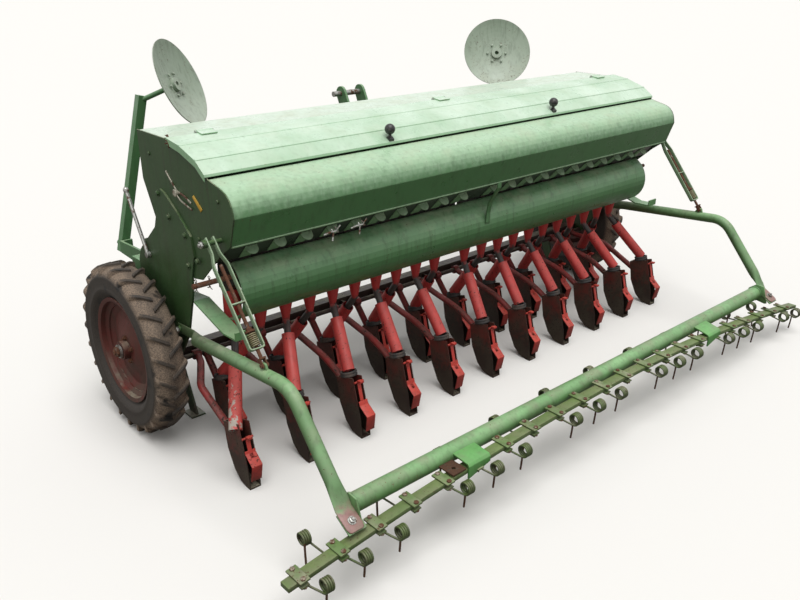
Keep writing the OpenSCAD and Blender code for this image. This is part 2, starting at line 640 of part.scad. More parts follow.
// Harrow frame: two bent arms, the cross tube with its end plates and two hangers
arm_bend_point = [-965, 538];
arm_tip = [-1245, 165];
cross_tube_at = [-1195, 233];
harrow_r = harrow_arm_diameter / 2;
flat = 8;
flat_x = -side_x - 6 - flat;
harrow_run = unit(arm_bend_point - harrow_pivot);
harrow_bend_radius = 95;
harrow_start = harrow_pivot + harrow_run * 125;
tab_half = 30;
harrow_end = cross_tube_at + [12, 50];
tab_run = unit(arm_tip - harrow_end);
hanger_x = 800;
module harrow_arm(side) color("mediumseagreen") at_axle() on_side(side) {
  flat_start = harrow_pivot - harrow_run * 18;
  difference() {
    union() {
      across(flat_x, flat_x + flat) polygon(strip([flat_start, harrow_start + harrow_run * 15], 40));
      bent_bar(-harrow_x, harrow_start, arm_bend_point, harrow_end, harrow_bend_radius, harrow_r);
    }
    pin_x(flat_x - 1, flat_x + flat + 1, harrow_pivot[0], harrow_pivot[1], harrow_bolt_r + seat);
  }
  across(-harrow_x - tab_half, -harrow_x + tab_half)
    polygon(strip([harrow_end + tab_run * -12, arm_tip], flat));
  difference() {
    across(-harrow_x - 4, -harrow_x + 4) polygon([
      strut_hook + [-10, 8], strut_hook + [-24, -28], strut_hook + [30, -24], strut_hook + [10, 8]]);
    pin_x(-harrow_x - 6, -harrow_x + 6, strut_hook[0], strut_hook[1], hook_pin_r + 0.1);
  }
}

// Cross tube between the arms, with its end plates, the flanges under the arms' tabs, and the hangers
tab_seat = left_of(tab_run) * (flat + seat);
end_plate_outline = [[35, 17], [0, 47], [-37, 52], [-95, -31], [-89, -85], [-45, -85], [30, -28]];
module harrow_tube() color("lightgreen") at_axle() {
  end_x = harrow_x - tab_half - 6;
  difference() {
    pin_x(-end_x, end_x, cross_tube_at[0], cross_tube_at[1], cross_tube_diameter / 2);
    pin_x(-end_x - 1, end_x + 1, cross_tube_at[0], cross_tube_at[1], cross_tube_diameter / 2 - 4);
  }
  for (s = [-1, 1]) on_side(s) {
    across(-end_x - 6, -end_x) polygon([for (p = end_plate_outline) cross_tube_at + p]);
    across(-harrow_x - tab_half, -end_x)
      polygon(strip([harrow_end + tab_run * 24 + tab_seat, arm_tip + tab_seat], flat));
    across(-hanger_x - 4, -hanger_x + 4)
      polygon([cross_tube_at + [40, 40], cross_tube_at + [-45, 40], tine_bar_at + [-32, 10],
        tine_bar_at + [-26, tine_bar_size / 2], tine_bar_at + [26, tine_bar_size / 2], cross_tube_at + [40, -20]]);
  }
}

// Square bar with clamps that hold the spring tines
bar_half = half + 286;
tine_pitch = (2 * bar_half - 180) / (tine_count - 1);
function tine_x(k) = (k - (tine_count - 1) / 2) * tine_pitch;
module tine_bar() color("olive") at_axle() {
  translate([0, tine_bar_at[0], tine_bar_at[1]])
    cube([2 * bar_half, tine_bar_size, tine_bar_size], center = true);
}

// Spring tines on alternate sides of the bar
module tine(x, side) {
  coil_y = tine_bar_at[0] + side * tine_coil_gap;
  coil_z = tine_bar_at[1] - 6;
  foot_x = x + coil_turns * tine_wire / 2 - tine_wire / 2;
  difference() {
    pin_x(x - coil_turns * tine_wire / 2, x + coil_turns * tine_wire / 2, coil_y, coil_z,
      tine_coil_r + tine_wire / 2);
    pin_x(x - 50, x + 50, coil_y, coil_z, tine_coil_r - tine_wire / 2);
  }
  bar([foot_x, coil_y - tine_coil_r, coil_z],
    [foot_x, coil_y - tine_sweep, coil_z - tine_drop], tine_wire / 2);
  bar([x, coil_y - side * tine_coil_r, coil_z + 10],
    [x, tine_bar_at[0] + side * tine_bar_size / 2, coil_z + 10], tine_wire / 2);
}
module tines() color("darkgreen") at_axle()
  for (k = [0:tine_count - 1]) tine(tine_x(k), k % 2 == 0 ? 1 : -1);

// Harrow struts: a flat-bar stirrup with a spring, and a rod with a hook
strut_hook = [-830, 560];
hook_pin_r = 6;
strut_run = unit(strut_hook - strut_eye);
strut_length = norm(strut_hook - strut_eye);
stirrup_length = strut_length - 56;
stirrup_bar = 6;
rod_r_strut = 6;
module along_strut(side) translate([side * strut_x, strut_eye[0], strut_eye[1]])
  rotate([atan2(strut_run[1], strut_run[0]) + 90, 0, 0]) children();
module strut(side) color("palegreen") at_axle() {
  along_strut(side) {
    difference() {
      rotate([90, 0, 0]) translate([0, 0, -strut_width / 2]) linear_extrude(strut_width)
        polygon(strip([[-13, 18], [-13, -40], [-25, -80], [-25, -stirrup_length],
          [25, -stirrup_length], [25, -80], [13, -40], [13, 18]], stirrup_bar));
      translate([-60, 0, 0]) rotate([0, 90, 0]) cylinder(h = 120, r = strut_bolt_r + seat);
      translate([0, 0, -stirrup_length - 20]) cylinder(h = 40, r = rod_r_strut + 1);
    }
    difference() {
      translate([-23, -strut_width / 2, -215]) cube([46, strut_width, 5]);
      translate([0, 0, -230]) cylinder(h = 40, r = rod_r_strut + 1);
    }
    translate([0, 0, -stirrup_length + stirrup_bar / 2 - 1]) difference() {
      cylinder(h = 50, r = 15);
      translate([0, 0, -1]) cylinder(h = 60, r = 9);
    }
  }
}
module strut_rod(side) color("saddlebrown") at_axle() along_strut(side) {
      translate([0, 0, -strut_length + 21]) cylinder(h = strut_length - 99, r = rod_r_strut);
      translate([0, 0, -stirrup_length + stirrup_bar / 2 + 52]) cylinder(h = 6, r = 17);
      for (s = [-1, 1]) translate([s * 8 - 2, -8, -strut_length - 7.5]) cube([4, 16, 31.5]);
      translate([-10, -12, -strut_length + 20]) cube([20, 24, 5]);
      translate([-14, 0, -strut_length]) rotate([0, 90, 0]) cylinder(h = 28, r = hook_pin_r);
}

// Folded track markers, arm and disc
marker_x = half - 70;
marker_z = beam_z;
marker_pin_r = 12;
disc_at = [half - 310, 272, 1245];
disc_normal = unit([0.6, -0.7, 0.4]);
disc_axle = 160;
marker_top = [disc_at[0] + disc_normal[0] * disc_axle, marker_y, disc_at[2] - disc_normal[2] * disc_axle];
module marker_arm(side) color("mediumseagreen") at_axle() on_side(side) {
  run = unit([marker_top[0] - marker_x, marker_top[2] - marker_z]);
  length = norm([marker_top[0] - marker_x, marker_top[2] - marker_z]);
  difference() {
    translate([-marker_x, marker_y, marker_z]) rotate([0, atan2(-run[0], run[1]), 0])
      translate([-marker_tube / 2, -marker_tube / 2, -30]) cube([marker_tube, marker_tube, length + 50]);
    translate([-marker_x, marker_y - 40, marker_z]) rotate([-90, 0, 0]) cylinder(h = 80, r = marker_pin_r + 0.1);
  }
  centre = [-disc_at[0], disc_at[1], disc_at[2]];
  bar(centre + disc_normal * -12, centre - disc_normal * (disc_axle + 5), 10);
}

disc_r = disc_diameter / 2;
disc_dish = 32;
disc_sphere = (disc_r * disc_r + disc_dish * disc_dish) / (2 * disc_dish);
disc_rise = asin(disc_r / disc_sphere);
module marker_disc(side) color("palegreen") at_axle() on_side(side)
  translate([-disc_at[0], disc_at[1], disc_at[2]])
    rotate([0, acos(disc_normal[2]), atan2(disc_normal[1], disc_normal[0])]) {
      rotate_extrude() polygon(concat([[10.1, -4]],
        [for (k = [1:8]) [disc_sphere * sin(disc_rise * k / 8), disc_sphere * (1 - cos(disc_rise * k / 8)) - 4]],
        [for (k = [8:-1:1]) [disc_sphere * sin(disc_rise * k / 8), disc_sphere * (1 - cos(disc_rise * k / 8))]],
        [[10.1, 0]]));
      difference() {
        translate([0, 0, -30]) cylinder(h = 45, r = 28);
        translate([0, 0, -31]) cylinder(h = 60, r = 10.1);
      }
    }

hopper();
hopper_end(-1);  // hopper_end_left
hopper_end(1);  // hopper_end_right
lid();
lid_knobs();
metering_housings();
shutters();
flap_shaft();
seed_tray();
tray_bracket(-1);  // tray_bracket_left
tray_bracket(1);  // tray_bracket_right
funnels();
seed_tubes();
tube_rings();
coulter_rail();
coulter_arms();
coulter_boots();
boot_flaps();
side_plate(-1);  // side_plate_left
side_plate(1);  // side_plate_right
axle(-1);  // axle_left
axle(1);  // axle_right
tyre(-1);  // tyre_left
tyre(1);  // tyre_right
rim(-1);  // rim_left
rim(1);  // rim_right
front_beam();
headstock();
top_link_pin();
hitch(-1);  // hitch_left
hitch(1);  // hitch_right
stand(-1);  // stand_left
stand(1);  // stand_right
depth_crank();
setting_lever();
harrow_arm(-1);  // harrow_arm_left
harrow_arm(1);  // harrow_arm_right
harrow_tube();
tine_bar();
tines();
strut(-1);  // strut_left
strut(1);  // strut_right
strut_rod(-1);  // strut_rod_left
strut_rod(1);  // strut_rod_right
marker_arm(-1);  // marker_arm_left
marker_arm(1);  // marker_arm_right
marker_disc(-1);  // marker_disc_left
marker_disc(1);  // marker_disc_right
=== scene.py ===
"""Looks, stage and camera of the seed drill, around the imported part."""

import json
import math

import bpy
from bpy.props import FloatProperty, FloatVectorProperty, IntProperty, PointerProperty
from bpy.types import Operator, Panel, PropertyGroup
from mathutils import Matrix, Vector


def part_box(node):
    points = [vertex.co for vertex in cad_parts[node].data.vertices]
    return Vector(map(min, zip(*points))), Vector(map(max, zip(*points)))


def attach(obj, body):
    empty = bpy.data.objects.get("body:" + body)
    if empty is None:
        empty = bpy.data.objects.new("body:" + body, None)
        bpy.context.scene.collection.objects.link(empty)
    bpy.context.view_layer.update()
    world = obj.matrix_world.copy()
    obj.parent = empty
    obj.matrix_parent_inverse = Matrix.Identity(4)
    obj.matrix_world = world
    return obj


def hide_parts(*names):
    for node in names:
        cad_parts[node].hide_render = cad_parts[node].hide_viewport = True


bl_info = {
    "name": "Seed drill",
    "version": (1, 0, 0),
    "blender": (4, 2, 0),
    "location": "View3D > Sidebar > Seed drill",
    "description": "Models the details, finishes and stage of a seed drill around its packed part",
    "category": "Object",
}

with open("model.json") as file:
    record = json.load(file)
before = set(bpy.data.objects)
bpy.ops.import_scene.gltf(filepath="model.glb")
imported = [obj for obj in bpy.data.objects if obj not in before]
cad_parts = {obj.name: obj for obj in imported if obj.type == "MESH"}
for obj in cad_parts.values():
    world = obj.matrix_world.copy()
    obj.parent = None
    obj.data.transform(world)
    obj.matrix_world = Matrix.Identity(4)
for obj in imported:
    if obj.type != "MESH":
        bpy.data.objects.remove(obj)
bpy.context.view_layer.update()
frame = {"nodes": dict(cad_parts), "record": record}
NODES = frame["nodes"]

MM = 0.001
SLOTS = {part["node"]: part["material_slot"] for part in frame["record"]["subparts"]}
SIDES = {"left": -1, "right": 1}
AXLE_Y = (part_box("axle_left")[0].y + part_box("axle_left")[1].y) / 2

# Wheel centres and harrow plates: distances from the drill's middle, and the axle's height
WHEEL_X, WHEEL_Z = 1350, 335
HARROW_X = 1286


def linear(hex_colour):
    """Linear RGBA of an sRGB hex value."""
    raw = [int(hex_colour[i : i + 2], 16) / 255 for i in (1, 3, 5)]
    return tuple(c / 12.92 if c <= 0.04045 else ((c + 0.055) / 1.055) ** 2.4 for c in raw) + (1,)


def place(x, y, z):
    """A place in metres from millimetres across, ahead of the axle, and up."""
    return Vector((x * MM, y * MM + AXLE_Y, z * MM))


# Sizes and colours


class DrillSizes(PropertyGroup):
    """Sizes of the detailed pieces."""

    lugs: IntProperty(
        name="Tyre lugs", description="Pairs of lugs round a tyre", default=24, min=12, max=40)
    tine_turns: IntProperty(
        name="Tine turns", description="Full turns of a tine's coil", default=3, min=1, max=5)
    spring_turns: IntProperty(
        name="Spring turns", description="Turns of a strut's spring", default=7, min=3, max=12)
    tine_wire: FloatProperty(
        name="Tine wire", description="Diameter of the tine wire", default=0.007, unit="LENGTH")


class DrillColours(PropertyGroup):
    """Colours of the paints."""

    green: FloatVectorProperty(
        name="Green", description="Green enamel", default=linear("#3f6b3e")[:3], subtype="COLOR",
        min=0, max=1)
    # Painted light with bleaching: this colour goes on faces turned up, for sun-bleached enamel and the light
    # from above
    green_faded_and_lit: FloatVectorProperty(
        name="Faded green", description="Green enamel where the sun falls",
        default=linear("#7fa87d")[:3], subtype="COLOR", min=0, max=1)
    red: FloatVectorProperty(
        name="Red", description="Red enamel", default=linear("#b5302f")[:3], subtype="COLOR",
        min=0, max=1)
    # Painted light with bleaching: this colour goes on faces turned up, for sun-bleached enamel and the light
    # from above
    red_faded_and_lit: FloatVectorProperty(
        name="Faded red", description="Red enamel where the sun falls",
        default=linear("#d8504a")[:3], subtype="COLOR", min=0, max=1)


# Materials

# Kinds of node and their settings that come up often
NOISE, RANGE, SPLIT = "ShaderNodeTexNoise", "ShaderNodeMapRange", "ShaderNodeSeparateXYZ"
MATH, MIX, VECTOR_MATH = "ShaderNodeMath", "ShaderNodeMix", "ShaderNodeVectorMath"
TIMES = {"operation": "MULTIPLY", "use_clamp": True}
LARGER = {"operation": "MAXIMUM", "use_clamp": True}
COLOUR = {"data_type": "RGBA"}

# Sizes of the weather's marks, in millimetres, as a metre shared by how many of them it holds
METRE = 1000
# On paint: sun patches, runs of water, chips, clouds of dirt, and the tears of a worn border
SUN_PATCH, RUN, CHIP, CLOUD, TEAR = METRE / 5, METRE / 60, METRE / 110, METRE / 14, METRE / 55
# Runs of water are drawn out along the height by this share
RUN_STRETCH = 0.06
# Rust scale and its grains, clods of earth and grit on rubber, and the film on a handled knob
SCALE, GRAIN, CLOD, GRIT, FILM = METRE / 45, METRE / 420, METRE / 16, METRE / 260, METRE / 120
# Colours of the stain of running water, of earth, of deep rust and of the dust on a knob
WATER_STAIN, EARTH, DEEP_RUST, KNOB_DUST = "#2b2a1c", "#3a3125", "#3a2418", "#6a675e"
# Width of a broken edge, and of the bends that a large curved sheet is smoothed over, in metres
EDGE_REACH, SHEET_BLEND = 0.0025, 0.012


def add(tree, kind, into=(), out=0, **settings):
    """Adds a shader node, sets its properties, fills or links its inputs, and gives one of its outputs."""
    made = tree.nodes.new(kind)
    for key, value in settings.items():
        setattr(made, key, value)
    for socket, value in dict(into).items():
        target = made.inputs[socket]
        if isinstance(value, bpy.types.NodeSocket):
            tree.links.new(value, target)
        else:
            target.default_value = value
    return made.outputs[out] if made.outputs else None


def start(name):
    """A material with only a surface shader: gives it, its tree, the shader and the object coordinates."""
    material = bpy.data.materials.new(name)
    material.use_nodes = True
    tree = material.node_tree
    return material, tree, tree.nodes["Principled BSDF"], add(tree, "ShaderNodeTexCoord", out="Object")


def grained(tree, *fields):
    """The noise fields of a finish, each given as coordinates, size in millimetres, detail and roughness."""
    return [
        add(tree, NOISE, {"Vector": where, "Scale": 1 / (size * MM), "Detail": detail, "Roughness": rough})
        for where, size, detail, rough in fields]


def surface(tree, shader, **links):
    """Links a finish to the surface shader's sockets, named with underscores."""
    for socket, value in links.items():
        tree.links.new(value, shader.inputs[socket.replace("_", " ")])


def zoned(tree, where, colour, zones):
    """Tints a colour in zones along an axis, each given as axis, start, end, hex and how far it breaks up,
    and perhaps as the axis, start and end of a second zone that it keeps to."""
    for axis, low, high, tint, ragged, *also in zones:
        field, = grained(tree, (where, TEAR, 5, 0.55))
        torn = add(tree, RANGE, {0: field, 1: 0.3, 2: 0.7, 3: -ragged, 4: ragged})
        value = add(tree, MATH, {0: add(tree, SPLIT, {0: where}, axis), 1: torn}, operation="ADD")
        inside = add(tree, RANGE, {0: value, 1: low, 2: high})
        if also:
            second = add(tree, RANGE, {0: add(tree, SPLIT, {0: where}, also[0]), 1: also[1], 2: also[2]})
            inside = add(tree, MATH, {0: inside, 1: second}, **TIMES)
        colour = add(tree, MIX, {0: inside, 6: colour, 7: linear(tint)}, 2, **COLOUR)
    return colour


def edges(tree, reach):
    """Where a surface bends within reach of the point, and its normal rounded over that reach."""
    flat = add(tree, "ShaderNodeNewGeometry", out="Normal")
    soft = add(tree, "ShaderNodeBevel", {"Radius": reach}, samples=4)
    same = add(tree, VECTOR_MATH, {0: flat, 1: soft}, "Value", operation="DOT_PRODUCT")
    return add(tree, RANGE, {0: same, 1: 0.995, 2: 0.9}), soft


def shade(value):
    """RGBA of a hex value or of a panel colour."""
    return linear(value) if isinstance(value, str) else (*value, 1)


def painted(name, coat, faded_and_lit, under, wear=0.5, grime=0.5, gloss=0.38, dust="#b9b39c", zones=(), soil=0.55,
        blend=0):
    """Sprayed enamel on sheet steel, weathered outdoors: chalky and paler on faces turned up, partly from
    sun-bleaching and partly as painted light from above, streaked where water runs, chipped to primer and
    rust in small spots and along edges, dusty on top, dirty near the ground."""
    material, tree, shader, where = start(name)
    up = add(tree, SPLIT, {0: add(tree, "ShaderNodeNewGeometry", out="Normal")}, "Z")
    height = add(tree, SPLIT, {0: where}, "Z")
    drawn = add(tree, "ShaderNodeMapping", {"Vector": where, "Scale": (1, 1, RUN_STRETCH)})
    patches, runs, chips, clouds = grained(tree,
        (where, SUN_PATCH, 4, 0.55), (drawn, RUN, 4, 0.55), (where, CHIP, 5, 0.62), (where, CLOUD, 3, 0.55))
    # Painted light with bleaching: faces turned up get the faded colour, broken up in patches, for
    # sun-bleached paint and the light from above
    sun = add(tree, MATH, {
        0: add(tree, RANGE, {0: up, 1: -0.2, 2: 0.9}),
        1: add(tree, RANGE, {0: patches, 1: 0.35, 2: 0.65, 3: 0.55})}, **TIMES)
    low = add(tree, MATH, {
        0: add(tree, RANGE, {0: height, 1: soil, 2: 0.02}),
        1: add(tree, RANGE, {0: clouds, 1: 0.38, 2: 0.62})}, **TIMES)
    film = add(tree, MATH, {
        0: add(tree, RANGE, {0: up, 1: 0.3, 2: 1.0, 4: 0.5}),
        1: add(tree, RANGE, {0: clouds, 1: 0.42, 2: 0.66})}, **TIMES)
    spots = add(tree, MATH, {
        0: add(tree, RANGE, {0: chips, 1: 0.74 - 0.16 * wear, 2: 0.76 - 0.16 * wear}),
        1: add(tree, RANGE, {0: clouds, 1: 0.45, 2: 0.55})}, **TIMES)
    rim, soft = edges(tree, EDGE_REACH)
    if blend:
        soft = add(tree, "ShaderNodeBevel", {"Radius": blend}, samples=4)
    rubbed = add(tree, MATH, {
        0: rim, 1: add(tree, RANGE, {0: chips, 1: 0.62 - 0.2 * wear, 2: 0.66 - 0.2 * wear})}, **TIMES)
    spots = add(tree, MATH, {0: spots, 1: rubbed}, **LARGER)
    colour = add(tree, MIX, {0: sun, 6: shade(coat), 7: shade(faded_and_lit)}, 2, **COLOUR)
    colour = zoned(tree, where, colour, zones)
    for mask, tint in (
            (add(tree, RANGE, {0: runs, 1: 0.5, 2: 0.72, 4: 0.45 * grime}), WATER_STAIN),
            (add(tree, MATH, {0: low, 1: grime}, **TIMES), EARTH),
            (add(tree, MATH, {0: film, 1: grime}, **TIMES), dust),
            (spots, under)):
        colour = add(tree, MIX, {0: mask, 6: colour, 7: linear(tint)}, 2, **COLOUR)
    rough = add(tree, MATH, {
        0: add(tree, RANGE, {0: clouds, 1: 0.3, 2: 0.7, 3: gloss, 4: gloss + 0.22}),
        1: add(tree, MATH, {0: spots, 1: 0.9}, **TIMES)}, **LARGER)
    peel = add(tree, "ShaderNodeBump", {
        "Strength": 0.25, "Distance": 0.0015, "Height": clouds, "Normal": soft})
    sunk = add(tree, "ShaderNodeBump", {
        "Strength": 0.5, "Distance": 0.0004, "Height": spots, "Normal": peel}, invert=True)
    surface(tree, shader, Base_Color=colour, Roughness=rough, Normal=sunk)
    return material


def rusted(name, clean, rust, share=0.5, metal=0.6):
    """Bare or worn steel outdoors: grey where it rubs, brown scale elsewhere."""
    material, tree, shader, where = start(name)
    scale, grains = grained(tree, (where, SCALE, 6, 0.65), (where, GRAIN, 3, 0.55))
    mask = add(tree, RANGE, {0: scale, 1: 0.62 - 0.35 * share, 2: 0.7 - 0.35 * share})
    depth = add(tree, RANGE, {0: grains, 1: 0.3, 2: 0.7})
    brown = add(tree, MIX, {0: depth, 6: linear(rust), 7: linear(DEEP_RUST)}, 2, **COLOUR)
    surface(tree, shader,
        Base_Color=add(tree, MIX, {0: mask, 6: linear(clean), 7: brown}, 2, **COLOUR),
        Metallic=add(tree, RANGE, {0: mask, 1: 0, 2: 1, 3: metal, 4: 0}),
        Roughness=add(tree, RANGE, {0: mask, 1: 0, 2: 1, 3: 0.38, 4: 0.85}),
        Normal=add(tree, "ShaderNodeBump", {"Strength": 0.4, "Distance": 0.0005, "Height": grains}))
    return material


def rubber(name, base, mud, share, rough=0.8, tread=0):
    """Moulded rubber, grey with age, with dried earth caught on it: on a tyre, between the lugs of the
    tread, whose radius is given in millimetres."""
    material, tree, shader, where = start(name)
    clods, grit = grained(tree, (where, CLOD, 6, 0.6), (where, GRIT, 4, 0.55))
    mask = add(tree, MATH, {
        0: add(tree, RANGE, {0: clods, 1: 0.66 - 0.4 * share, 2: 0.78 - 0.4 * share}),
        1: add(tree, RANGE, {0: grit, 1: 0.25, 2: 0.6})}, **TIMES)
    if tread:
        hub = add(tree, VECTOR_MATH, {0: where, 1: (0, AXLE_Y, WHEEL_Z * MM)}, operation="SUBTRACT")
        disc = add(tree, VECTOR_MATH, {0: hub, 1: (0, 1, 1)}, operation="MULTIPLY")
        radius = add(tree, VECTOR_MATH, {0: disc}, "Value", operation="LENGTH")
        for low, high, least in ((tread - 25, tread - 10, 0.12), (tread + 14, tread + 5, 0.2)):
            here = add(tree, RANGE, {0: radius, 1: low * MM, 2: high * MM, 3: least})
            mask = add(tree, MATH, {0: mask, 1: here}, **TIMES)
    surface(tree, shader,
        Base_Color=add(tree, MIX, {0: mask, 6: linear(base), 7: linear(mud)}, 2, **COLOUR),
        Roughness=add(tree, RANGE, {0: mask, 1: 0, 2: 1, 3: rough - 0.12, 4: 0.95}),
        Normal=add(tree, "ShaderNodeBump", {"Strength": 0.35, "Distance": 0.0008, "Height": grit}))
    return material


def phenolic(name, base, rough=0.4):
    """Moulded phenolic, handled and dusty."""
    material, tree, shader, where = start(name)
    film, = grained(tree, (where, FILM, 4, 0.55))
    dusty = add(tree, RANGE, {0: film, 1: 0.45, 2: 0.75, 4: 0.5})
    surface(tree, shader,
        Base_Color=add(tree, MIX, {0: dusty, 6: linear(base), 7: linear(KNOB_DUST)}, 2, **COLOUR),
        Roughness=add(tree, RANGE, {0: film, 1: 0.3, 2: 0.7, 3: rough, 4: rough + 0.2}))
    return material


def make_finishes(colours):
    """One material for each finish, by slot or by name."""
    green, green_faded_and_lit, red, red_faded_and_lit = colours.green, colours.green_faded_and_lit, colours.red, colours.red_faded_and_lit
    return {
        # Green enamel sprayed on plate: satin, deep where it is upright, with small rust spots
        "green_paint": painted("weathered_green_enamel", green, green_faded_and_lit, "#5a3a24", wear=0.4, gloss=0.3),
        # The same on the hopper's sheet: paler upwards to nearly white towards the lid, partly bleaching and
        # partly a painted highlight of the sky on its shoulder; near black under the lip, which is painted
        # shade
        "hopper_paint": painted("hopper_green_enamel", green, "#86b183", "#5a3a24", wear=0.4, gloss=0.24,
            blend=SHEET_BLEND, zones=(
                # Painted highlight with some bleaching: paler bands up the sheet towards the lid
                ("Z", 0.975, 1.06, "#aecdab", 0.012), ("Z", 1.1, 1.16, "#cfe0cd", 0.012),
                # Painted shade: near black on the sloping floor under the lip
                ("Z", 0.868, 0.858, "#1c1f18", 0.004, "Y", AXLE_Y - 0.34, AXLE_Y - 0.36))),
        # The same on the tray: glossy, with dark runs down its round front
        "tray_paint": painted("streaked_tray_enamel", green, green_faded_and_lit, "#4b2f20", wear=0.5, grime=0.8,
            gloss=0.26, blend=SHEET_BLEND),
        # Painted light: the lid lies open to the sky and gets a pale copy of the green enamel for the light
        # and
        # reflection on its top: pale, smooth and bright
        "lid_paint": painted("painted_sky_light_green_enamel", "#7fae7e", "#d0e5d0", "#6d4a30", wear=0.25, grime=0.25,
            gloss=0.22),
        # Painted shade: the end and side plates stand in shade and splash, and get a dark olive copy of the
        # green with brown patches
        "plate_paint": painted("shaded_green_enamel", "#263f20", "#4b6a38", "#3c2c1c", wear=0.5, grime=1.0),
        # Thin enamel on brackets: lighter, a little chalky
        "light_green_paint": painted("faded_green_enamel", "#4c7a45", "#8db887", "#5a3a24", wear=0.35,
            gloss=0.34),
        # Enamel on the harrow's arms: dirty at the pivot, rubbed to pink primer on the flattened ends
        "arm_paint": painted("pale_green_enamel", "#4c6e40", "#8ab27f", "#5a4636", wear=0.55, grime=0.7,
            gloss=0.36, zones=(("Y", AXLE_Y - 0.75, AXLE_Y - 0.42, "#475c3b", 0.06),
                ("Y", AXLE_Y - 1.205, AXLE_Y - 1.228, "#97706a", 0.012))),
        # Enamel on the cross tube: clear pale green with brown scuffs
        "beam_paint": painted("cross_tube_enamel", "#4f7a42", "#8fbb84", "#6b4c38", wear=0.6, grime=0.6,
            gloss=0.34),
        # Enamel on the struts' flat bars: pale, rubbed through at the edges
        "strap_paint": painted("rubbed_strut_enamel", "#6d8a66", "#a9bf9f", "#5a4030", wear=0.8, grime=0.7),
        # Thin old enamel on the shutters and the lip's roll: pale and dusty
        "tab_paint": painted("faded_tab_enamel", "#6f8f69", "#a3bf9d", "#5a3a24", wear=0.3, grime=0.8),
        # Enamel polished off the marker discs by soil: greyish, with bare grey spots
        "disc_paint": painted("worn_disc_enamel", "#80917c", "#b4bfae", "#7b776c", wear=0.9, grime=0.6,
            gloss=0.34),
        # Enamel on the tine bar: olive under dust, chipped brown
        "olive_paint": painted("dirty_olive_enamel", "#485c34", "#73874f", "#54402c", wear=0.75, grime=0.7,
            dust="#8f8f70", soil=0.3),
        # Red enamel on the cast funnels: bright, their lower necks bare and dark
        "funnel_paint": painted("bright_red_enamel", red, red_faded_and_lit, "#3a2a24", wear=0.6, grime=0.4,
            dust="#a8605a", zones=(("Z", 0.478, 0.458, "#3a3634", 0.012),)),
        # Red enamel on the tubes: scratched, on the leftmost tube down to pale metal
        "tube_paint": painted("worn_red_enamel", "#b0302f", "#d9564e", "#3f2a22", wear=0.85, grime=0.6,
            dust="#a8605a", zones=(("X", -1.262, -1.272, "#b9b0a4", 0.05),), soil=0.4),
        # Red enamel on the coulter arms: dull, scuffed nearly black
        "arm_red": painted("scuffed_red_enamel", "#7c2a2a", "#a93f3c", "#2f2520", wear=1.0, grime=0.9,
            dust="#80504a"),
        # Painted shade with grime: old paint on the rail, which lies in deep shade under the tray, darkened
        # to soot brown
        "rail_paint": painted("grimy_shade_dark_rail_enamel", "#2c1c18", "#4a322c", "#241c18", wear=0.8, grime=1.0),
        # Cast boots that run in soil: rust brown below, remains of red above
        "boot_paint": painted("earth_worn_boot", "#5a2019", "#7c2f27", "#2a1b14", wear=1.0, grime=1.0,
            gloss=0.5, zones=(("Z", 0.19, 0.1, "#2c1c15", 0.06),)),
        # Enamel on the boots' flaps: the clearest red, chipped at the edges
        "flap_paint": painted("bright_flap_enamel", "#a42a26", "#cc4636", "#3a241c", wear=0.8, grime=0.7,
            dust="#a8605a", soil=0.12),
        # Old enamel on the pressed rims: dark red gone to rust
        "rim_paint": painted("dull_red_enamel", "#4c1b14", "#6f2d22", "#231812", wear=0.7, grime=0.9,
            gloss=0.5),
        # Enamel on the stands: green under earth
        "stand_paint": painted("earthy_stand_enamel", "#2f4727", "#4e6a44", "#4b3528", wear=0.8, grime=1.0),
        # Yellow enamel on the small plate: faded, plain
        "tag_paint": painted("yellow_tag_enamel", "#c69a2a", "#d6b04a", "#4a3a20", wear=0.5, gloss=0.45,
            grime=0.4),
        # Enamel left on the wound spring wire of the tines: olive, mostly rust
        "coil_paint": painted("worn_coil_enamel", "#3f4f2c", "#63743f", "#3d2c1e", wear=0.95, grime=1.0,
            soil=0.3),
        # Enamel on the strut springs: yellowish brown, nearly gone
        "spring_paint": painted("worn_spring_enamel", "#5c5b3c", "#867f5c", "#5a3a24", wear=0.9, grime=0.8),
        # Enamel on the pressed clamps: olive, rubbed at the edges
        "clamp_paint": painted("rubbed_clamp_enamel", "#4a6236", "#708a52", "#5e452f", wear=0.85, grime=0.8,
            soil=0.3),
        # Newer enamel on the folded hangers: fresh green
        "hanger_paint": painted("fresh_hanger_enamel", "#4f8a45", "#76b46a", "#5a3a24", wear=0.4, grime=0.4,
            gloss=0.3),
        # Cast iron housings, oiled and dusty: nearly black
        "dark_housing": rusted("dark_cast_housing", "#242320", "#241c16", share=0.35, metal=0.2),
        # Moulded rubber rings: black, dull, dusty
        "ring_rubber": rubber("dirty_black_rubber", "#2e2c2b", "#5c5048", 0.4),
        # Moulded tyre rubber: dark walls and lugs, dried mud between the lugs
        "tyre_rubber": rubber("muddy_tyre_rubber", "#161412", "#8f7d6c", 0.85, tread=315),
        # Turned and zinced steel: bright, with brown spots
        "bare_steel": rusted("worn_bare_steel", "#a5a5a0", "#6b4a34", share=0.3, metal=0.85),
        # Drawn steel rods left bare: brown all over
        "rusty_steel": rusted("rusty_spring_steel", "#6e655c", "#6e4329", share=0.75, metal=0.5),
        # Spring steel legs of the tines and small plates: dark brown
        "leg_steel": rusted("dark_rusty_tine", "#4f4438", "#55361f", share=0.8, metal=0.3),
        # Bare flat steel of the setting lever: pale, with rust patches
        "lever_steel": rusted("rusty_lever_steel", "#b6b2a2", "#6b4a38", share=0.42, metal=0.5),
        # Zinced nuts of the clamps: yellowish grey and brown
        "clamp_steel": rusted("rusty_clamp_steel", "#9a8f7e", "#6e4a30", share=0.6, metal=0.6),
        # Moulded phenolic ball knobs: black, shiny
        "black_knob": phenolic("black_phenolic_knob", "#1c1c1e", rough=0.28),
    }


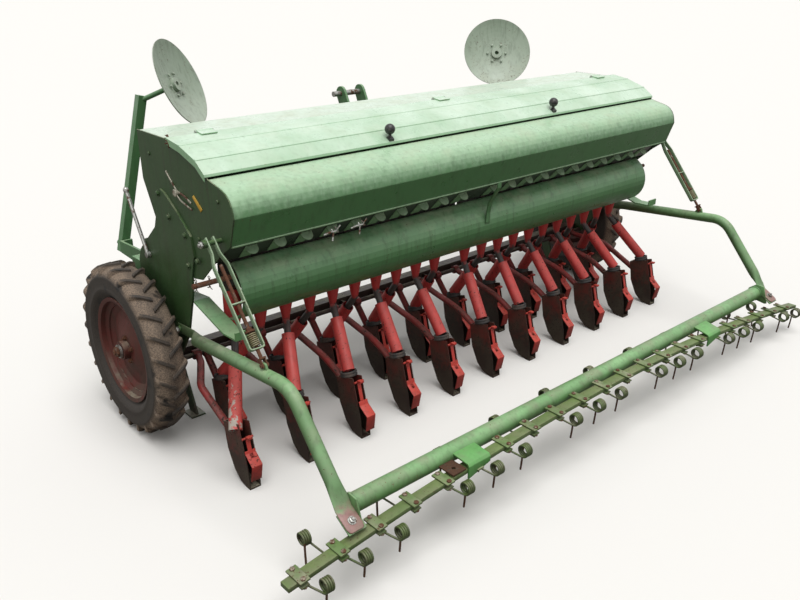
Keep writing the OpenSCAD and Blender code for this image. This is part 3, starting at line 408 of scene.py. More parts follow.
# The materials by name, filled by the first operator
FINISH = {}


# Modelling helpers


def only(obj):
    """Selects just this object and makes it active."""
    bpy.ops.object.select_all(action="DESELECT")
    obj.select_set(True)
    bpy.context.view_layer.objects.active = obj
    return obj


def settle(obj):
    """Puts an object's place, turn and scale into its mesh."""
    only(obj)
    bpy.ops.object.transform_apply(location=True, rotation=True, scale=True)
    return obj


def modify(obj, kind, **settings):
    """Adds a modifier and applies it."""
    only(obj)
    made = obj.modifiers.new(kind.lower(), kind)
    for key, value in settings.items():
        setattr(made, key, value)
    bpy.ops.object.modifier_apply(modifier=made.name)
    return obj


def broken(obj, width, segments=2, **settings):
    """Bevels an object's sharp edges, by a width in metres."""
    return modify(obj, "BEVEL", width=width, segments=segments, limit_method="ANGLE", **settings)


def in_edit(obj, *steps):
    """Runs edit mode steps on an object with everything selected first."""
    only(obj)
    bpy.ops.object.mode_set(mode="EDIT")
    bpy.ops.mesh.select_all(action="SELECT")
    for step in steps:
        step()
    bpy.ops.object.mode_set(mode="OBJECT")
    return obj


def all_faces():
    bpy.ops.mesh.select_all(action="SELECT")


def outwards():
    """Turns the selected faces outwards."""
    bpy.ops.mesh.normals_make_consistent(inside=False)


def pulled(x, y, z):
    """An edit mode step that extrudes the selection by a vector."""
    return lambda: bpy.ops.mesh.extrude_region_move(TRANSFORM_OT_translate={"value": (x, y, z)})


def outline(points, name="outline"):
    """A filled circle primitive whose rim is moved onto the points."""
    bpy.ops.object.select_all(action="DESELECT")
    bpy.ops.mesh.primitive_circle_add(vertices=len(points), radius=1, fill_type="NGON")
    obj = bpy.context.object
    obj.name = name
    for vertex, point in zip(obj.data.vertices, points):
        vertex.co = point
    return obj


def plate(points, depth, bevel=0.0):
    """An outline extruded by a vector into a closed plate, with its edges broken."""
    obj = in_edit(outline(points), pulled(*depth), all_faces, outwards)
    return broken(obj, bevel) if bevel else obj


def spun(profile, steps=96):
    """Turns a closed profile, in millimetres as radius and distance along the axle, round the X axis."""
    obj = outline([Vector((x, 0, r)) * MM for r, x in profile])
    return in_edit(obj,
        lambda: bpy.ops.mesh.delete(type="ONLY_FACE"),
        all_faces,
        lambda: bpy.ops.mesh.spin(steps=steps, angle=2 * math.pi, center=(0, 0, 0), axis=(1, 0, 0)),
        all_faces,
        lambda: bpy.ops.mesh.remove_doubles(threshold=1e-5),
        outwards)


def moved(obj, x, y, z):
    """Moves a mesh to a place of the drill."""
    obj.data.transform(Matrix.Translation(place(x, y, z)))
    return obj


def joined(objs):
    """Joins objects to one."""
    bpy.ops.object.select_all(action="DESELECT")
    for obj in objs:
        obj.select_set(True)
    bpy.context.view_layer.objects.active = objs[0]
    bpy.ops.object.join()
    return bpy.context.object


def copies(obj, places):
    """Copies an object's mesh to each matrix and joins the copies to one object."""
    made = []
    for matrix in places:
        twin = obj.copy()
        twin.data = obj.data.copy()
        bpy.context.collection.objects.link(twin)
        twin.data.transform(matrix)
        if matrix.determinant() < 0:
            twin.data.flip_normals()
        made.append(twin)
    bpy.data.objects.remove(obj, do_unlink=True)
    return joined(made)


def wire(points, radius, name="wire", sides=3):
    """A round wire along points, as a mesh."""
    curve = bpy.data.curves.new(name, "CURVE")
    curve.dimensions = "3D"
    spline = curve.splines.new("POLY")
    spline.points.add(len(points) - 1)
    for slot, point in zip(spline.points, points):
        slot.co = (*point, 1)
    curve.bevel_depth = radius
    curve.bevel_resolution = sides
    curve.use_fill_caps = True
    obj = bpy.data.objects.new(name, curve)
    bpy.context.collection.objects.link(obj)
    only(obj)
    bpy.ops.object.convert(target="MESH")
    return bpy.context.object


def rounded(points, trim, steps=6):
    """A path whose corners are replaced by curves that start trim before each corner."""
    points = [Vector(p) for p in points]
    path = [points[0]]
    for before, corner, after in zip(points, points[1:], points[2:]):
        first = corner + (before - corner).normalized() * trim
        last = corner + (after - corner).normalized() * trim
        for k in range(steps + 1):
            t = k / steps
            path.append((1 - t) ** 2 * first + 2 * t * (1 - t) * corner + t ** 2 * last)
    return path + [points[-1]]


def rounded_flat(points, trim):
    """The same for a path of distance and height."""
    return [p.xy for p in rounded([(*p, 0) for p in points], trim, 3)]


def loft(rings, sides):
    """Extrudes a filled circle once per ring and moves each section onto it: middle and two half axes."""
    bpy.ops.object.select_all(action="DESELECT")
    bpy.ops.mesh.primitive_circle_add(vertices=sides, radius=1, fill_type="NGON")
    obj = in_edit(bpy.context.object, *[pulled(0, 0, 1)] * (len(rings) - 1))
    for v in obj.data.vertices:
        middle, across, upward = rings[round(v.co.z)]
        angle = math.atan2(v.co.y, v.co.x)
        v.co = middle + math.cos(angle) * across + math.sin(angle) * upward
    return in_edit(obj, outwards)


def block(size, middle, bevel):
    """A bar or plate with broken edges, in millimetres."""
    bpy.ops.object.select_all(action="DESELECT")
    bpy.ops.mesh.primitive_cube_add(size=1, location=Vector(middle) * MM)
    obj = bpy.context.object
    obj.scale = Vector(size) * MM
    return broken(settle(obj), bevel * MM)


def strip(path, thick):
    """The outline of a sheet of even thickness that follows a path."""
    points = [Vector(p) for p in path]
    left, right = [], []
    for k, point in enumerate(points):
        legs = ((points[max(k - 1, 0)], point), (point, points[min(k + 1, len(points) - 1)]))
        ways = [(b - a).normalized() for a, b in legs if (b - a).length > 0]
        way = sum(ways, Vector((0, 0))).normalized()
        normal = Vector((-way.y, way.x)) * thick / 2 / max(way.dot(ways[0]), 0.5)
        left.append(point + normal)
        right.append(point - normal)
    return left + right[::-1]


def sheet_along(path, thick, x0, x1, bevel=0.8):
    """A sheet bent along a path of distance and height, from x0 to x1 across the drill, in millimetres."""
    return plate([place(x0, *p) for p in strip(path, thick)], Vector(((x1 - x0) * MM, 0, 0)), bevel * MM)


def aim(spot, axis):
    """A matrix that puts a piece's foot on a spot with its z along the axis."""
    turn = Vector((0, 0, 1)).rotation_difference(Vector(axis))
    return Matrix.Translation(spot) @ turn.to_matrix().to_4x4()


def finished(obj, name, body, slot, replaces=(), smooth=35, finish=None):
    """Names a piece, smooths it, gives it its finish, and fastens it to its body."""
    settle(obj)
    obj.name = obj.data.name = name
    bpy.ops.object.shade_smooth_by_angle(angle=math.radians(smooth))
    obj.data.materials.clear()
    obj.data.materials.append(FINISH[finish or slot])
    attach(obj, body)
    if replaces:
        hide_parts(*replaces)
    return obj


# Operators

# The finish of each CAD node whose look differs from its slot's
NODE_FINISH = {
    "hopper": "hopper_paint", "seed_tray": "tray_paint", "lid": "lid_paint", "funnels": "funnel_paint",
    "seed_tubes": "tube_paint", "coulter_rail": "rail_paint", "coulter_boots": "boot_paint",
    "coulter_arms": "arm_red", "boot_flaps": "flap_paint", "shutters": "tab_paint",
}
NODE_FINISH.update({f"{node}_{side}": finish for side in SIDES for node, finish in (
    ("marker_disc", "disc_paint"), ("hopper_end", "plate_paint"), ("side_plate", "plate_paint"),
    ("stand", "stand_paint"), ("harrow_arm", "arm_paint"))})


class DRILL_OT_finishes(Operator):
    """Gives each CAD node its weathered finish"""

    bl_idname = "drill.finishes"
    bl_label = "Finishes"

    def execute(self, context):
        FINISH.update(make_finishes(context.scene.drill_colours))
        for name, obj in NODES.items():
            obj.data.materials.clear()
            obj.data.materials.append(FINISH[NODE_FINISH.get(name, SLOTS[name])])
        return {"FINISHED"}


# Tyre: its outer and inner profile as radius and distance from the wheel's middle plane
TYRE_PROFILE = (
    (197, 31), (200, 38.5), (214, 42.5), (222, 51), (229, 58.5), (236, 61), (240, 63.2), (246, 63.4),
    (250, 62), (262, 63.4), (280, 62.8), (286, 64), (290, 63.6), (294, 61.5), (304, 55), (313, 44),
    (320, 30), (324.5, 14))
TYRE_BORE = ((306, 26), (296, 46), (262, 52), (234, 50), (208, 27))
TYRE_STEPS = 120
# Lug bar: its distance from the middle plane with the radius of its top and of its foot, and its width,
# narrower at the top and wider at the foot by these, its lean, and its broken edges
LUG = ((-6, 335, 318), (0, 335, 318), (20, 334, 315), (38, 333, 308), (52, 327, 298), (61, 321, 292))
LUG_WIDE, LUG_TOP_IN, LUG_FOOT_OUT = 16, 2.5, 1
LUG_LEAN, LUG_BREAK, LUG_CORNER = math.radians(34), 0.0018, math.radians(40)


def lug_mesh():
    """One lug bar from the tread's middle to its shoulder, leaning back, with tapered flanks."""
    bar = outline([(0, -1, 0), (0, 1, 0), (0, 1, 1), (0, -1, 1)])
    for _ in LUG[1:]:
        only(bar)
        bpy.ops.object.mode_set(mode="EDIT")
        pulled(1, 0, 0)()
        bpy.ops.object.mode_set(mode="OBJECT")
    in_edit(bar, outwards)
    for v in bar.data.vertices:
        x, top, foot = LUG[round(v.co.x)]
        high = v.co.z > 0.5
        radius = top if high else foot
        side = v.co.y * (LUG_WIDE / 2 - (LUG_TOP_IN if high else -LUG_FOOT_OUT))
        y = x * math.tan(LUG_LEAN) + side / math.cos(LUG_LEAN)
        v.co = Vector((x, y, math.sqrt(radius ** 2 - y ** 2))) * MM
    return broken(bar, LUG_BREAK, 1, angle_limit=LUG_CORNER)


class DRILL_OT_tyres(Operator):
    """Models the two implement tyres with their lugs and side ribs"""

    bl_idname = "drill.tyres"
    bl_label = "Tyres"

    def execute(self, context):
        lugs = context.scene.drill_sizes.lugs
        half_turn = math.pi / lugs
        mirror = Matrix.Scale(-1, 4, (1, 0, 0))
        profile = [(r, -x) for r, x in TYRE_PROFILE] + [(r, x) for r, x in reversed(TYRE_PROFILE)]
        profile += [(r, x) for r, x in reversed(TYRE_BORE)] + [(r, -x) for r, x in TYRE_BORE]
        for side, s in SIDES.items():
            carcass = spun(profile, steps=TYRE_STEPS)
            turns = []
            for k in range(lugs):
                turns.append(Matrix.Rotation(2 * half_turn * k, 4, "X"))
                turns.append(Matrix.Rotation(2 * half_turn * k + half_turn, 4, "X") @ mirror)
            tyre = moved(joined([carcass, copies(lug_mesh(), turns)]), s * WHEEL_X, 0, WHEEL_Z)
            finished(tyre, f"tyre_{side}_lugged", f"wheel_{side}", "tyre_rubber", [f"tyre_{side}"])
        return {"FINISHED"}


# Heads of the fasteners: half width over corners, height, washer radius and thread stub, in millimetres
HEADS = {
    "plate": (9, 6, 12, 0), "end": (7, 4, 0, 0), "pivot": (13, 10, 0, 4), "strut": (12, 9, 0, 5),
    "wheel": (9, 7, 11, 4), "axle": (21, 12, 0, 6), "tab": (10, 7, 14, 6), "disc": (7, 5, 0, 0),
    "clamp": (8.5, 5.5, 0, 0), "hook": (10.5, 8, 12, 8),
}
WASHER = 2
# Broken edges as shares of a head's half width, and the thread's radius as such a share
HEAD_BREAK, STUB_BREAK, STUB_SHARE = 0.12, 0.08, 0.5


def disc_of(sides, radius, high, foot, bevel, segments):
    """A short upright bar with broken edges, in millimetres, standing at a height on the z axis."""
    bpy.ops.mesh.primitive_cylinder_add(vertices=sides, radius=radius * MM, depth=high * MM,
        location=(0, 0, (foot + high / 2) * MM))
    return settle(broken(bpy.context.object, bevel * MM, segments))


def hex_head(kind):
    """A bevelled hexagon head or nut on its washer, seated at z = 0, with a stub of thread above it."""
    across, high, washer, stub = HEADS[kind]
    bpy.ops.object.select_all(action="DESELECT")
    foot = WASHER if washer else 0
    parts = [disc_of(20, washer, WASHER, 0, 0.4, 1)] if washer else []
    parts.append(disc_of(6, across, high, foot, across * HEAD_BREAK, 2))
    if stub:
        parts.append(disc_of(12, across * STUB_SHARE, stub, foot + high, across * STUB_BREAK, 1))
    return joined(parts)


def pinned(name, body, kind, spots, finish=None):
    """Copies a fastener to its spots, each a place and an axis, and finishes the set as one piece."""
    piece = copies(hex_head(kind), [aim(place(*spot), axis) for spot, axis in spots])
    return finished(piece, name, body, "bare_steel", finish=finish)


# Bolts of the side plates and of the end plates: distance ahead of the axle, height
PLATE_BOLTS = ((-162, 957), (-227, 886), (-332, 845), (-339, 739), (-407, 773), (20, 330), (30, 560))
END_BOLTS = ((-415, 852), (-110, 1085), (-560, 1010))
# Faces that the heads sit on: distances from the drill's middle
PLATE_FACE, END_FACE, PIVOT_FACE, STRUT_FACE = 1258, 1250, 1280, 1317
RIM_FACE, AXLE_FACE = WHEEL_X + 26.6, 1412
# Places: harrow pivot, strut eye and strut hook, and the bolt on an arm's tab with its lean
PIVOT, STRUT_EYE, STRUT_HOOK = Vector((-250, 475)), Vector((-560, 885)), Vector((-830, 560))
TAB_BOLT, TAB_AXIS = (-1250, 226), (0, -0.50, 0.866)
# Bolt circles of the rims and marker discs: how many bolts and their radius
WHEEL_CIRCLE, DISC_CIRCLE = (5, 47), (6, 48)
# Right marker disc, folded up: middle, the way its bolted face looks, and how far that is from the middle
DISC_AT, DISC_AXIS, DISC_FACE = (940, 272, 1245), (-0.597022, -0.696526, 0.398015), 6.5


class DRILL_OT_fasteners(Operator):
    """Adds the bolts and nuts of the frame, hubs, harrow and markers"""

    bl_idname = "drill.fasteners"
    bl_label = "Fasteners"

    def execute(self, context):
        bolts, reach = WHEEL_CIRCLE
        turns = [2 * math.pi * k / bolts for k in range(bolts)]
        for side, s in SIDES.items():
            out = (s, 0, 0)
            pinned(f"plate_bolts_{side}", "frame", "plate",
                [((s * PLATE_FACE, *p), out) for p in PLATE_BOLTS], "plate_paint")
            pinned(f"end_bolts_{side}", "frame", "end",
                [((s * END_FACE, *p), out) for p in END_BOLTS], "plate_paint")
            pinned(f"harrow_pivot_nut_{side}", "frame", "pivot", [((s * PIVOT_FACE, *PIVOT), out)])
            pinned(f"strut_nut_{side}", "frame", "strut", [((s * STRUT_FACE, *STRUT_EYE), out)])
            pinned(f"wheel_bolts_{side}", f"wheel_{side}", "wheel",
                [((s * RIM_FACE, -reach * math.sin(a), WHEEL_Z + reach * math.cos(a)), out) for a in turns],
                "rusty_steel")
            pinned(f"axle_nut_{side}", "frame", "axle", [((s * AXLE_FACE, 0, WHEEL_Z), out)], "rusty_steel")
            pinned(f"arm_tab_bolt_{side}", "harrow", "tab", [((s * HARROW_X, *TAB_BOLT), TAB_AXIS)])
            self.add_disc_bolts(side, s)
        return {"FINISHED"}

    def add_disc_bolts(self, side, s):
        """Puts the bolts round a marker disc's hub."""
        bolts, reach = DISC_CIRCLE
        x, y, z = DISC_AXIS
        normal = Vector((s * x, y, z))
        first = normal.cross(Vector((0, 0, 1))).normalized()
        second = normal.cross(first)
        x, y, z = DISC_AT
        centre = Vector((s * x, y, z)) + normal * DISC_FACE
        turns = [2 * math.pi * k / bolts for k in range(bolts)]
        pinned(f"disc_bolts_{side}", f"marker_disc_{side}", "disc",
            [(centre + reach * (math.cos(a) * first + math.sin(a) * second), normal) for a in turns],
            "disc_paint")


# Bowed tine bar: half its length, its height at the ends, its bow and lean, its distance ahead of the axle,
# its section, and the clamps and hangers along it
BAR_HALF, BAR_Z, BAR_BOW, BAR_LEAN, BAR_Y = 1536, 128, 111, 17, -1270
BAR_THICK, BAR_WIDE, BAR_STEPS = 15, 40, 48
CLAMPS = tuple(-1490 + 138 * k for k in range(22))
HANGERS, HANGER_HALF = (-800, 683), 50
# Plates of a clamp, lower and upper: size, height on the bar and broken edge; and the places of its nuts
CLAMP_FOOT, CLAMP_CAP = ((28, 64, 5), -10.2, 0.8), ((34, 72, 6), 10.6, 0.9)
CLAMP_NUT_Y, CLAMP_NUT_TOP, CLAMP_NUT_FOOT = 26, 13, -12
# Tines: place of the coil behind or ahead of the bar, its height, its shift along the bar, and the straight
# run of its wire under the clamp, for the rear and front ranks
REAR_TINE = (-50, -24, 58, (30, -8))
FRONT_TINE = (138, -30, -20, (-30, 34))
# Coil radius, half its width, the wire's start beside the clamp, the rise of a front tine, and its leg
COIL_R, COIL_HALF, START_ACROSS, FRONT_RISE = 20, 14, 8, (48, -12)
LEG_DROP, LEG_LEAN = 95, 25
WIRE_GAP, TURN_STEPS = 0.3, 20


def bar_z(x):
    return BAR_Z + BAR_BOW * (1 - (x / BAR_HALF) ** 2) - BAR_LEAN * x / BAR_HALF


def bar_turn(x):
    """Angle of the bowed bar at x."""
    return math.atan((-2 * BAR_BOW * x / BAR_HALF - BAR_LEAN) / BAR_HALF)


def under_hanger(x):
    """Whether a hanger takes the place of a clamp's upper plate."""
    return min(abs(x - h) for h in HANGERS) < HANGER_HALF + 21


class DRILL_OT_tines(Operator):
    """Winds the spring tines and adds the nuts of their clamps"""

    bl_idname = "drill.tines"
    bl_label = "Spring tines"

    def execute(self, context):
        turns = context.scene.drill_sizes.tine_turns + 0.75
        radius = context.scene.drill_sizes.tine_wire / 2
        under = -BAR_THICK / 2 - CLAMP_FOOT[0][2] - radius / MM - WIRE_GAP
        coils, legs = [], []
        for k, clamp in enumerate(CLAMPS):
            lift = Vector((clamp, BAR_Y, bar_z(clamp)))
            ranks = ([REAR_TINE] if k % 4 != 3 else []) + ([FRONT_TINE] if k % 2 else [])
            for y, z, shift, run in ranks:
                way = 1 if y > 0 else -1
                turn = 1 if shift > 0 else -1
                near, far = shift - turn * COIL_HALF, shift + turn * COIL_HALF
                path = [(turn * START_ACROSS, start_y, under) for start_y in run]
                if way > 0:
                    path.append((turn * START_ACROSS, FRONT_RISE[0], z + FRONT_RISE[1]))
                for step in range(int(turns * TURN_STEPS) + 1):
                    angle = 2 * math.pi * step / TURN_STEPS
                    path.append((near + (far - near) * angle / (2 * math.pi * turns),
                        y + way * COIL_R * math.sin(angle), z - COIL_R * math.cos(angle)))
                coils.append(wire([place(*(lift + Vector(p))) for p in path], radius, sides=2))
                sweep = [(far, y - way * (COIL_R + (LEG_LEAN - COIL_R) * t ** 2), z - LEG_DROP * t)
                    for t in (0, 0.25, 0.5, 0.75, 1)]
                legs.append(wire([place(*(lift + Vector(p))) for p in sweep], radius, sides=2))
        finished(joined(coils), "tine_coils", "harrow", "olive_paint", ["tines"], smooth=60,
            finish="coil_paint")
        finished(joined(legs), "tine_legs", "harrow", "rusty_steel", ["tines"], smooth=60,
            finish="leg_steel")
        spots = []
        for clamp in CLAMPS:
            turned = Matrix.Rotation(-bar_turn(clamp), 3, "Y")
            foot = Vector((clamp, BAR_Y, bar_z(clamp)))
            for s in (-1, 1):
                if not under_hanger(clamp):
                    for height in (CLAMP_NUT_TOP, CLAMP_NUT_FOOT):
                        spots.append((foot + turned @ Vector((0, s * CLAMP_NUT_Y, height)),
                            turned @ Vector((0, 0, math.copysign(1, height)))))
        pinned("clamp_nuts", "harrow", "clamp", spots, "clamp_steel")
        return {"FINISHED"}


# Harrow frame: bend, cross tube, and the arms' flattened ends, as distance ahead of the axle and height
BEND, CROSS = Vector((-965, 538)), Vector((-1195, 233))
ARM_END, TAB_KNEE, ARM_TIP = Vector((-1199, 266)), Vector((-1211, 245)), Vector((-1276, 206))
ARM_R, BEND_TRIM, ARM_SIDES = 22.5, 62, 28
# Sections of the arm's flattened front: distance behind the pivot, distance from the middle, half axes
ARM_FRONT = ((-18, 1268, 4, 20), (40, 1268, 4, 20), (90, 1268, 4, 20), (105, 1270, 7, 21),
    (120, 1275, 12, 22), (135, 1281, 18, 22.5), (150, HARROW_X, ARM_R, ARM_R))
# Sections of its flattened rear: distance before the end or past the knee or before the tip, half axes
ARM_REAR = ((70, ARM_R, ARM_R), (52, 24, 20), (34, 26.5, 14), (16, 29, 7), (4, 30, 4.6))
TAB_FRONT, TAB_REAR = ((0, 30, 4), (14, 30, 4)), ((16, 30, 4), (5, 27, 4), (0, 20, 3.6))
# Eye that the strut hooks into, round the hook's place, and the cross tube's end plate, round its middle:
# outline, distance from the drill's middle and thickness
HOOK_EYE, HOOK_EYE_X, HOOK_EYE_THICK = ((-10, 8), (-24, -28), (30, -24), (10, 8)), 1282, 8
END_PLATE = ((35, 17), (0, 44), (-36, 40), (-62, -37), (-52, -41), (30, -28))
END_PLATE_X, END_PLATE_THICK = 1250, 6
# Small plate under an arm's tab: how far down, thickness, and its outer end; and the cross tube's profile
TAB_PLATE_DOWN, TAB_PLATE_THICK, TAB_PLATE_END = 6.8, 5, 1316
TUBE_PROFILE = ((30.2, -1250), (31, -1249), (31, -1247), (31, 1247), (31, 1249), (30.2, 1250), (27, 1250),
    (27, -1250))
# Hanger: where it meets the cross tube, how far behind the bar's middle it hangs, its bends over the bar,
# its foot under the bar, its slant and its sheet
HANGER_AT, HANGER_BACK, HANGER_BENDS = Vector((-26, 12)), -23.3, ((6, 21), (0, 14))
HANGER_FOOT, HANGER_SLANT, SHEET = 30, 26, 6
# Rusty tab beside the left hanger: its sides, its start on the cross tube, its end on the bar and its bore
TAB_X, TAB_AT, TAB_DOWN, TAB_BORE = (-915, -856), Vector((-28, -6)), (-20, 15), ((-886, -1262, 14), 7)


def harrow_arm(s):
    """A bent tube whose ends are pressed flat: upright at the pivot, level at the cross tube."""
    run = (BEND - PIVOT).normalized()
    down = (ARM_END - BEND).normalized()
    tab = (ARM_TIP - TAB_KNEE).normalized()
    last = ARM_FRONT[-1][0]
    corner = rounded([(*(PIVOT + run * last), 0), (*BEND, 0), (*ARM_END, 0)], BEND_TRIM, 10)[1:-1]
    stations = [(PIVOT + run * d, x, wide, high) for d, x, wide, high in ARM_FRONT]
    stations += [(p.xy, HARROW_X, ARM_R, ARM_R) for p in corner]
    stations += [(ARM_END - down * d, HARROW_X, wide, high) for d, wide, high in ARM_REAR]
    stations += [(TAB_KNEE + tab * d, HARROW_X, wide, high) for d, wide, high in TAB_FRONT]
    stations += [(ARM_TIP - tab * d, HARROW_X, wide, high) for d, wide, high in TAB_REAR]
    rings = []
    for k, (point, x, wide, high) in enumerate(stations):
        way = (stations[min(k + 1, len(stations) - 1)][0] - stations[max(k - 1, 0)][0]).normalized()
        rings.append((place(s * x, *point), Vector((wide, 0, 0)) * MM,
            Vector((0, -way.y, way.x)) * high * MM))
    return loft(rings, ARM_SIDES)


class DRILL_OT_harrow(Operator):
    """Models the harrow's arms, cross tube, end plates, hangers and the bowed bar with its clamps"""

    bl_idname = "drill.harrow"
    bl_label = "Harrow frame"

    def execute(self, context):
        tab = (ARM_TIP - TAB_KNEE).normalized()
        under = Vector((-tab.y, tab.x)) * TAB_PLATE_DOWN
        plates = []
        for side, s in SIDES.items():
            eye = plate([place(s * HOOK_EYE_X, *(STRUT_HOOK + Vector(p))) for p in HOOK_EYE],
                Vector((s * HOOK_EYE_THICK * MM, 0, 0)), 0.001)
            finished(joined([harrow_arm(s), eye]), f"harrow_arm_{side}_bent", "harrow", "green_paint",
                [f"harrow_arm_{side}"], smooth=50, finish="arm_paint")
            plates.append(plate([place(s * END_PLATE_X, *(CROSS + Vector(p))) for p in END_PLATE],
                Vector((s * END_PLATE_THICK * MM, 0, 0)), 0.001))
            plates.append(sheet_along([TAB_KNEE + tab * 8 + under, ARM_TIP + tab * 2 + under],
                TAB_PLATE_THICK, *sorted((s * END_PLATE_X, s * TAB_PLATE_END))))
        finished(joined(plates), "tube_end_plates", "harrow", "light_green_paint", ["harrow_tube"],
            finish="beam_paint")
        finished(moved(spun(TUBE_PROFILE, steps=40), 0, *CROSS), "cross_tube", "harrow", "light_green_paint",
            ["harrow_tube"], smooth=50, finish="beam_paint")
        self.add_hangers()
        xs = [BAR_HALF * (2 * k / BAR_STEPS - 1) for k in range(BAR_STEPS + 1)]
        rim = [place(x, BAR_Y - BAR_WIDE / 2, bar_z(x) + BAR_THICK / 2) for x in xs]
        rim += [place(x, BAR_Y - BAR_WIDE / 2, bar_z(x) - BAR_THICK / 2) for x in reversed(xs)]
        bar = plate(rim, Vector((0, BAR_WIDE * MM, 0)), 0.0012)
        finished(bar, "bowed_tine_bar", "harrow", "olive_paint", ["tine_bar"])
        clamps = []
        for clamp in CLAMPS:
            kinds = [CLAMP_FOOT] if under_hanger(clamp) else [CLAMP_FOOT, CLAMP_CAP]
            part = joined([block(size, (0, 0, height), bevel) for size, height, bevel in kinds])
            turned = Matrix.Rotation(-bar_turn(clamp), 4, "Y")
            part.data.transform(Matrix.Translation(place(clamp, BAR_Y, bar_z(clamp))) @ turned)
            clamps.append(part)
        finished(joined(clamps), "tine_clamps", "harrow", "olive_paint", ["tine_bar"], finish="clamp_paint")
        return {"FINISHED"}

    def add_hangers(self):
        """Folds the two hangers, slants their feet, and bores the rusty tab beside the left one."""
        back = BAR_Y + HANGER_BACK
        hangers = []
        for x in HANGERS:
            low = bar_z(x) - HANGER_FOOT
            bends = [(back + ahead, bar_z(x) + rise) for ahead, rise in HANGER_BENDS]
            hanger = sheet_along([CROSS + HANGER_AT, *bends, (back, low)], SHEET,
                x - HANGER_HALF, x + HANGER_HALF)
            for v in hanger.data.vertices:
                if v.co.z < (low + 4) * MM:
                    v.co.z += HANGER_SLANT * MM * (v.co.x / MM - x + HANGER_HALF) / (2 * HANGER_HALF)
            hangers.append(hanger)
        finished(joined(hangers), "hangers", "harrow", "light_green_paint", ["harrow_tube"],
            finish="hanger_paint")
        (x, y, rise), bore = TAB_BORE
        spare = sheet_along([CROSS + TAB_AT, (BAR_Y + TAB_DOWN[0], bar_z(x) + TAB_DOWN[1])], SHEET, *TAB_X)
        bpy.ops.object.select_all(action="DESELECT")
        bpy.ops.mesh.primitive_cylinder_add(vertices=24, radius=bore * MM, depth=0.1,
            location=place(x, y, bar_z(x) + rise))
        drill = bpy.context.object
        modify(spare, "BOOLEAN", operation="DIFFERENCE", object=drill, solver="EXACT")
        bpy.data.objects.remove(drill, do_unlink=True)
        finished(spare, "hanger_tab", "harrow", "rusty_steel", ["harrow_tube"], finish="leg_steel")


# Rows of coulters: their pitch, the front rank's lead and how many there are; then the rod that the arms
# hang on, and the arms' radius in metres
ROW_PITCH, RANK, ROWS = 125, 300, 21
ROD, ARM_WIRE = (-145, 300), 0.014
# Paths of the arms with the trim of their bends: outer rows from their own pivot, front and rear ranks
OUTER_PIVOT, OUTER_START, OUTER_KNEE = 1168, (-157, 298), (1174, -190, 290)
OUTER_ARM = ((-320, 262), (-545, 157)), 22
FRONT_ARM = ((-133, 304), (-165, 268), (-235, 187)), 16
REAR_ARM = ((-157, 298), (-425, 245), (-535, 187)), 55
# Profiles of an arm's eye and of the rubber ring between tube and boot: radius and height
EYE_PROFILE = ((10.6, -14), (10.6, 14), (17.5, 15), (19, 13.5), (19, -13.5), (17.5, -15))
RING_PROFILE = ((24.6, -8), (24.6, 8), (27, 10), (31, 10.5), (33, 8), (33.4, 4), (31.8, 1.2), (31.8, -1.2),
    (33.4, -4), (33, -8), (31, -10.5), (27, -10))
RING_AT, RING_LEAN = (-560, 238), math.radians(-16.7)
# Boot's rear edge: its top and the way down it, where a flap hangs and ends, and the flap's knee and tip
EDGE_TOP, EDGE_RUN = Vector((-614.2, 242.4)), Vector((-43, -161.8))
FLAP_TOP, FLAP_LOW, FIRST_FLAP_LOWER = 0.12, 0.66, 0.22
FLAP_KNEE, FLAP_TIP, FLAP_HALF, FLAP_THICK = Vector((-683, 102)), Vector((-670, 38)), 21, 3
HANGER_STRIP_HALF, HINGE_HALF, HINGE_WIRE = 8, 9, 0.0042
# Flaps that have swung up from rest, in degrees, by row
FLAP_SWING = {4: -5}


def row_x(i):
    return (i - (ROWS - 1) / 2) * ROW_PITCH


def coulter_arm_path(i):
    """The bent path of a row's arm, and the place of its eye across the drill."""
    x = row_x(i)
    if i in (0, ROWS - 1):
        s = math.copysign(1, x)
        knee_x, *knee = OUTER_KNEE
        path, trim = OUTER_ARM
        points = [(s * OUTER_PIVOT, *OUTER_START), (s * knee_x, *knee), *((x, *p) for p in path)]
        return rounded(points, trim), s * OUTER_PIVOT
    path, trim = FRONT_ARM if i % 2 else REAR_ARM
    return rounded([(x, *p) for p in path], trim, 6 if i % 2 else 8), x


def boot_flap(i):
    """A row's flap on its narrow hanger, with the hinge at its top."""
    x, ahead = row_x(i), Vector((RANK * (i % 2), 0))
    high = FLAP_TOP + (0 if i else FIRST_FLAP_LOWER)
    top, low = (EDGE_TOP + EDGE_RUN * t + ahead for t in (high, FLAP_LOW))
    knee, bend, tip = low - Vector((0.5, 0)), FLAP_KNEE + ahead, FLAP_TIP + ahead
    wide = sheet_along([top.lerp(knee, 0.8), knee, bend, tip], FLAP_THICK, x - FLAP_HALF, x + FLAP_HALF, 0.9)
    pivot = place(x, *top)
    swing = Matrix.Rotation(math.radians(FLAP_SWING.get(i, 0)), 4, "X")
    wide.data.transform(Matrix.Translation(pivot) @ swing @ Matrix.Translation(-pivot))
    narrow = sheet_along([top - Vector((0.5, 0)), knee, knee.lerp(bend, 0.4)], FLAP_THICK,
        x - HANGER_STRIP_HALF, x + HANGER_STRIP_HALF, 0.9)
    lug = sheet_along([top + Vector((-1, 6)), top + Vector((-23, 9))], 9,
        x - HINGE_HALF, x + HINGE_HALF, 2.2)
    ends = [place(x + s * (FLAP_HALF + 1), *(top + Vector((-1, 2)))) for s in (-1, 1)]
    return [narrow, wide, lug, wire(ends, HINGE_WIRE, sides=2)]


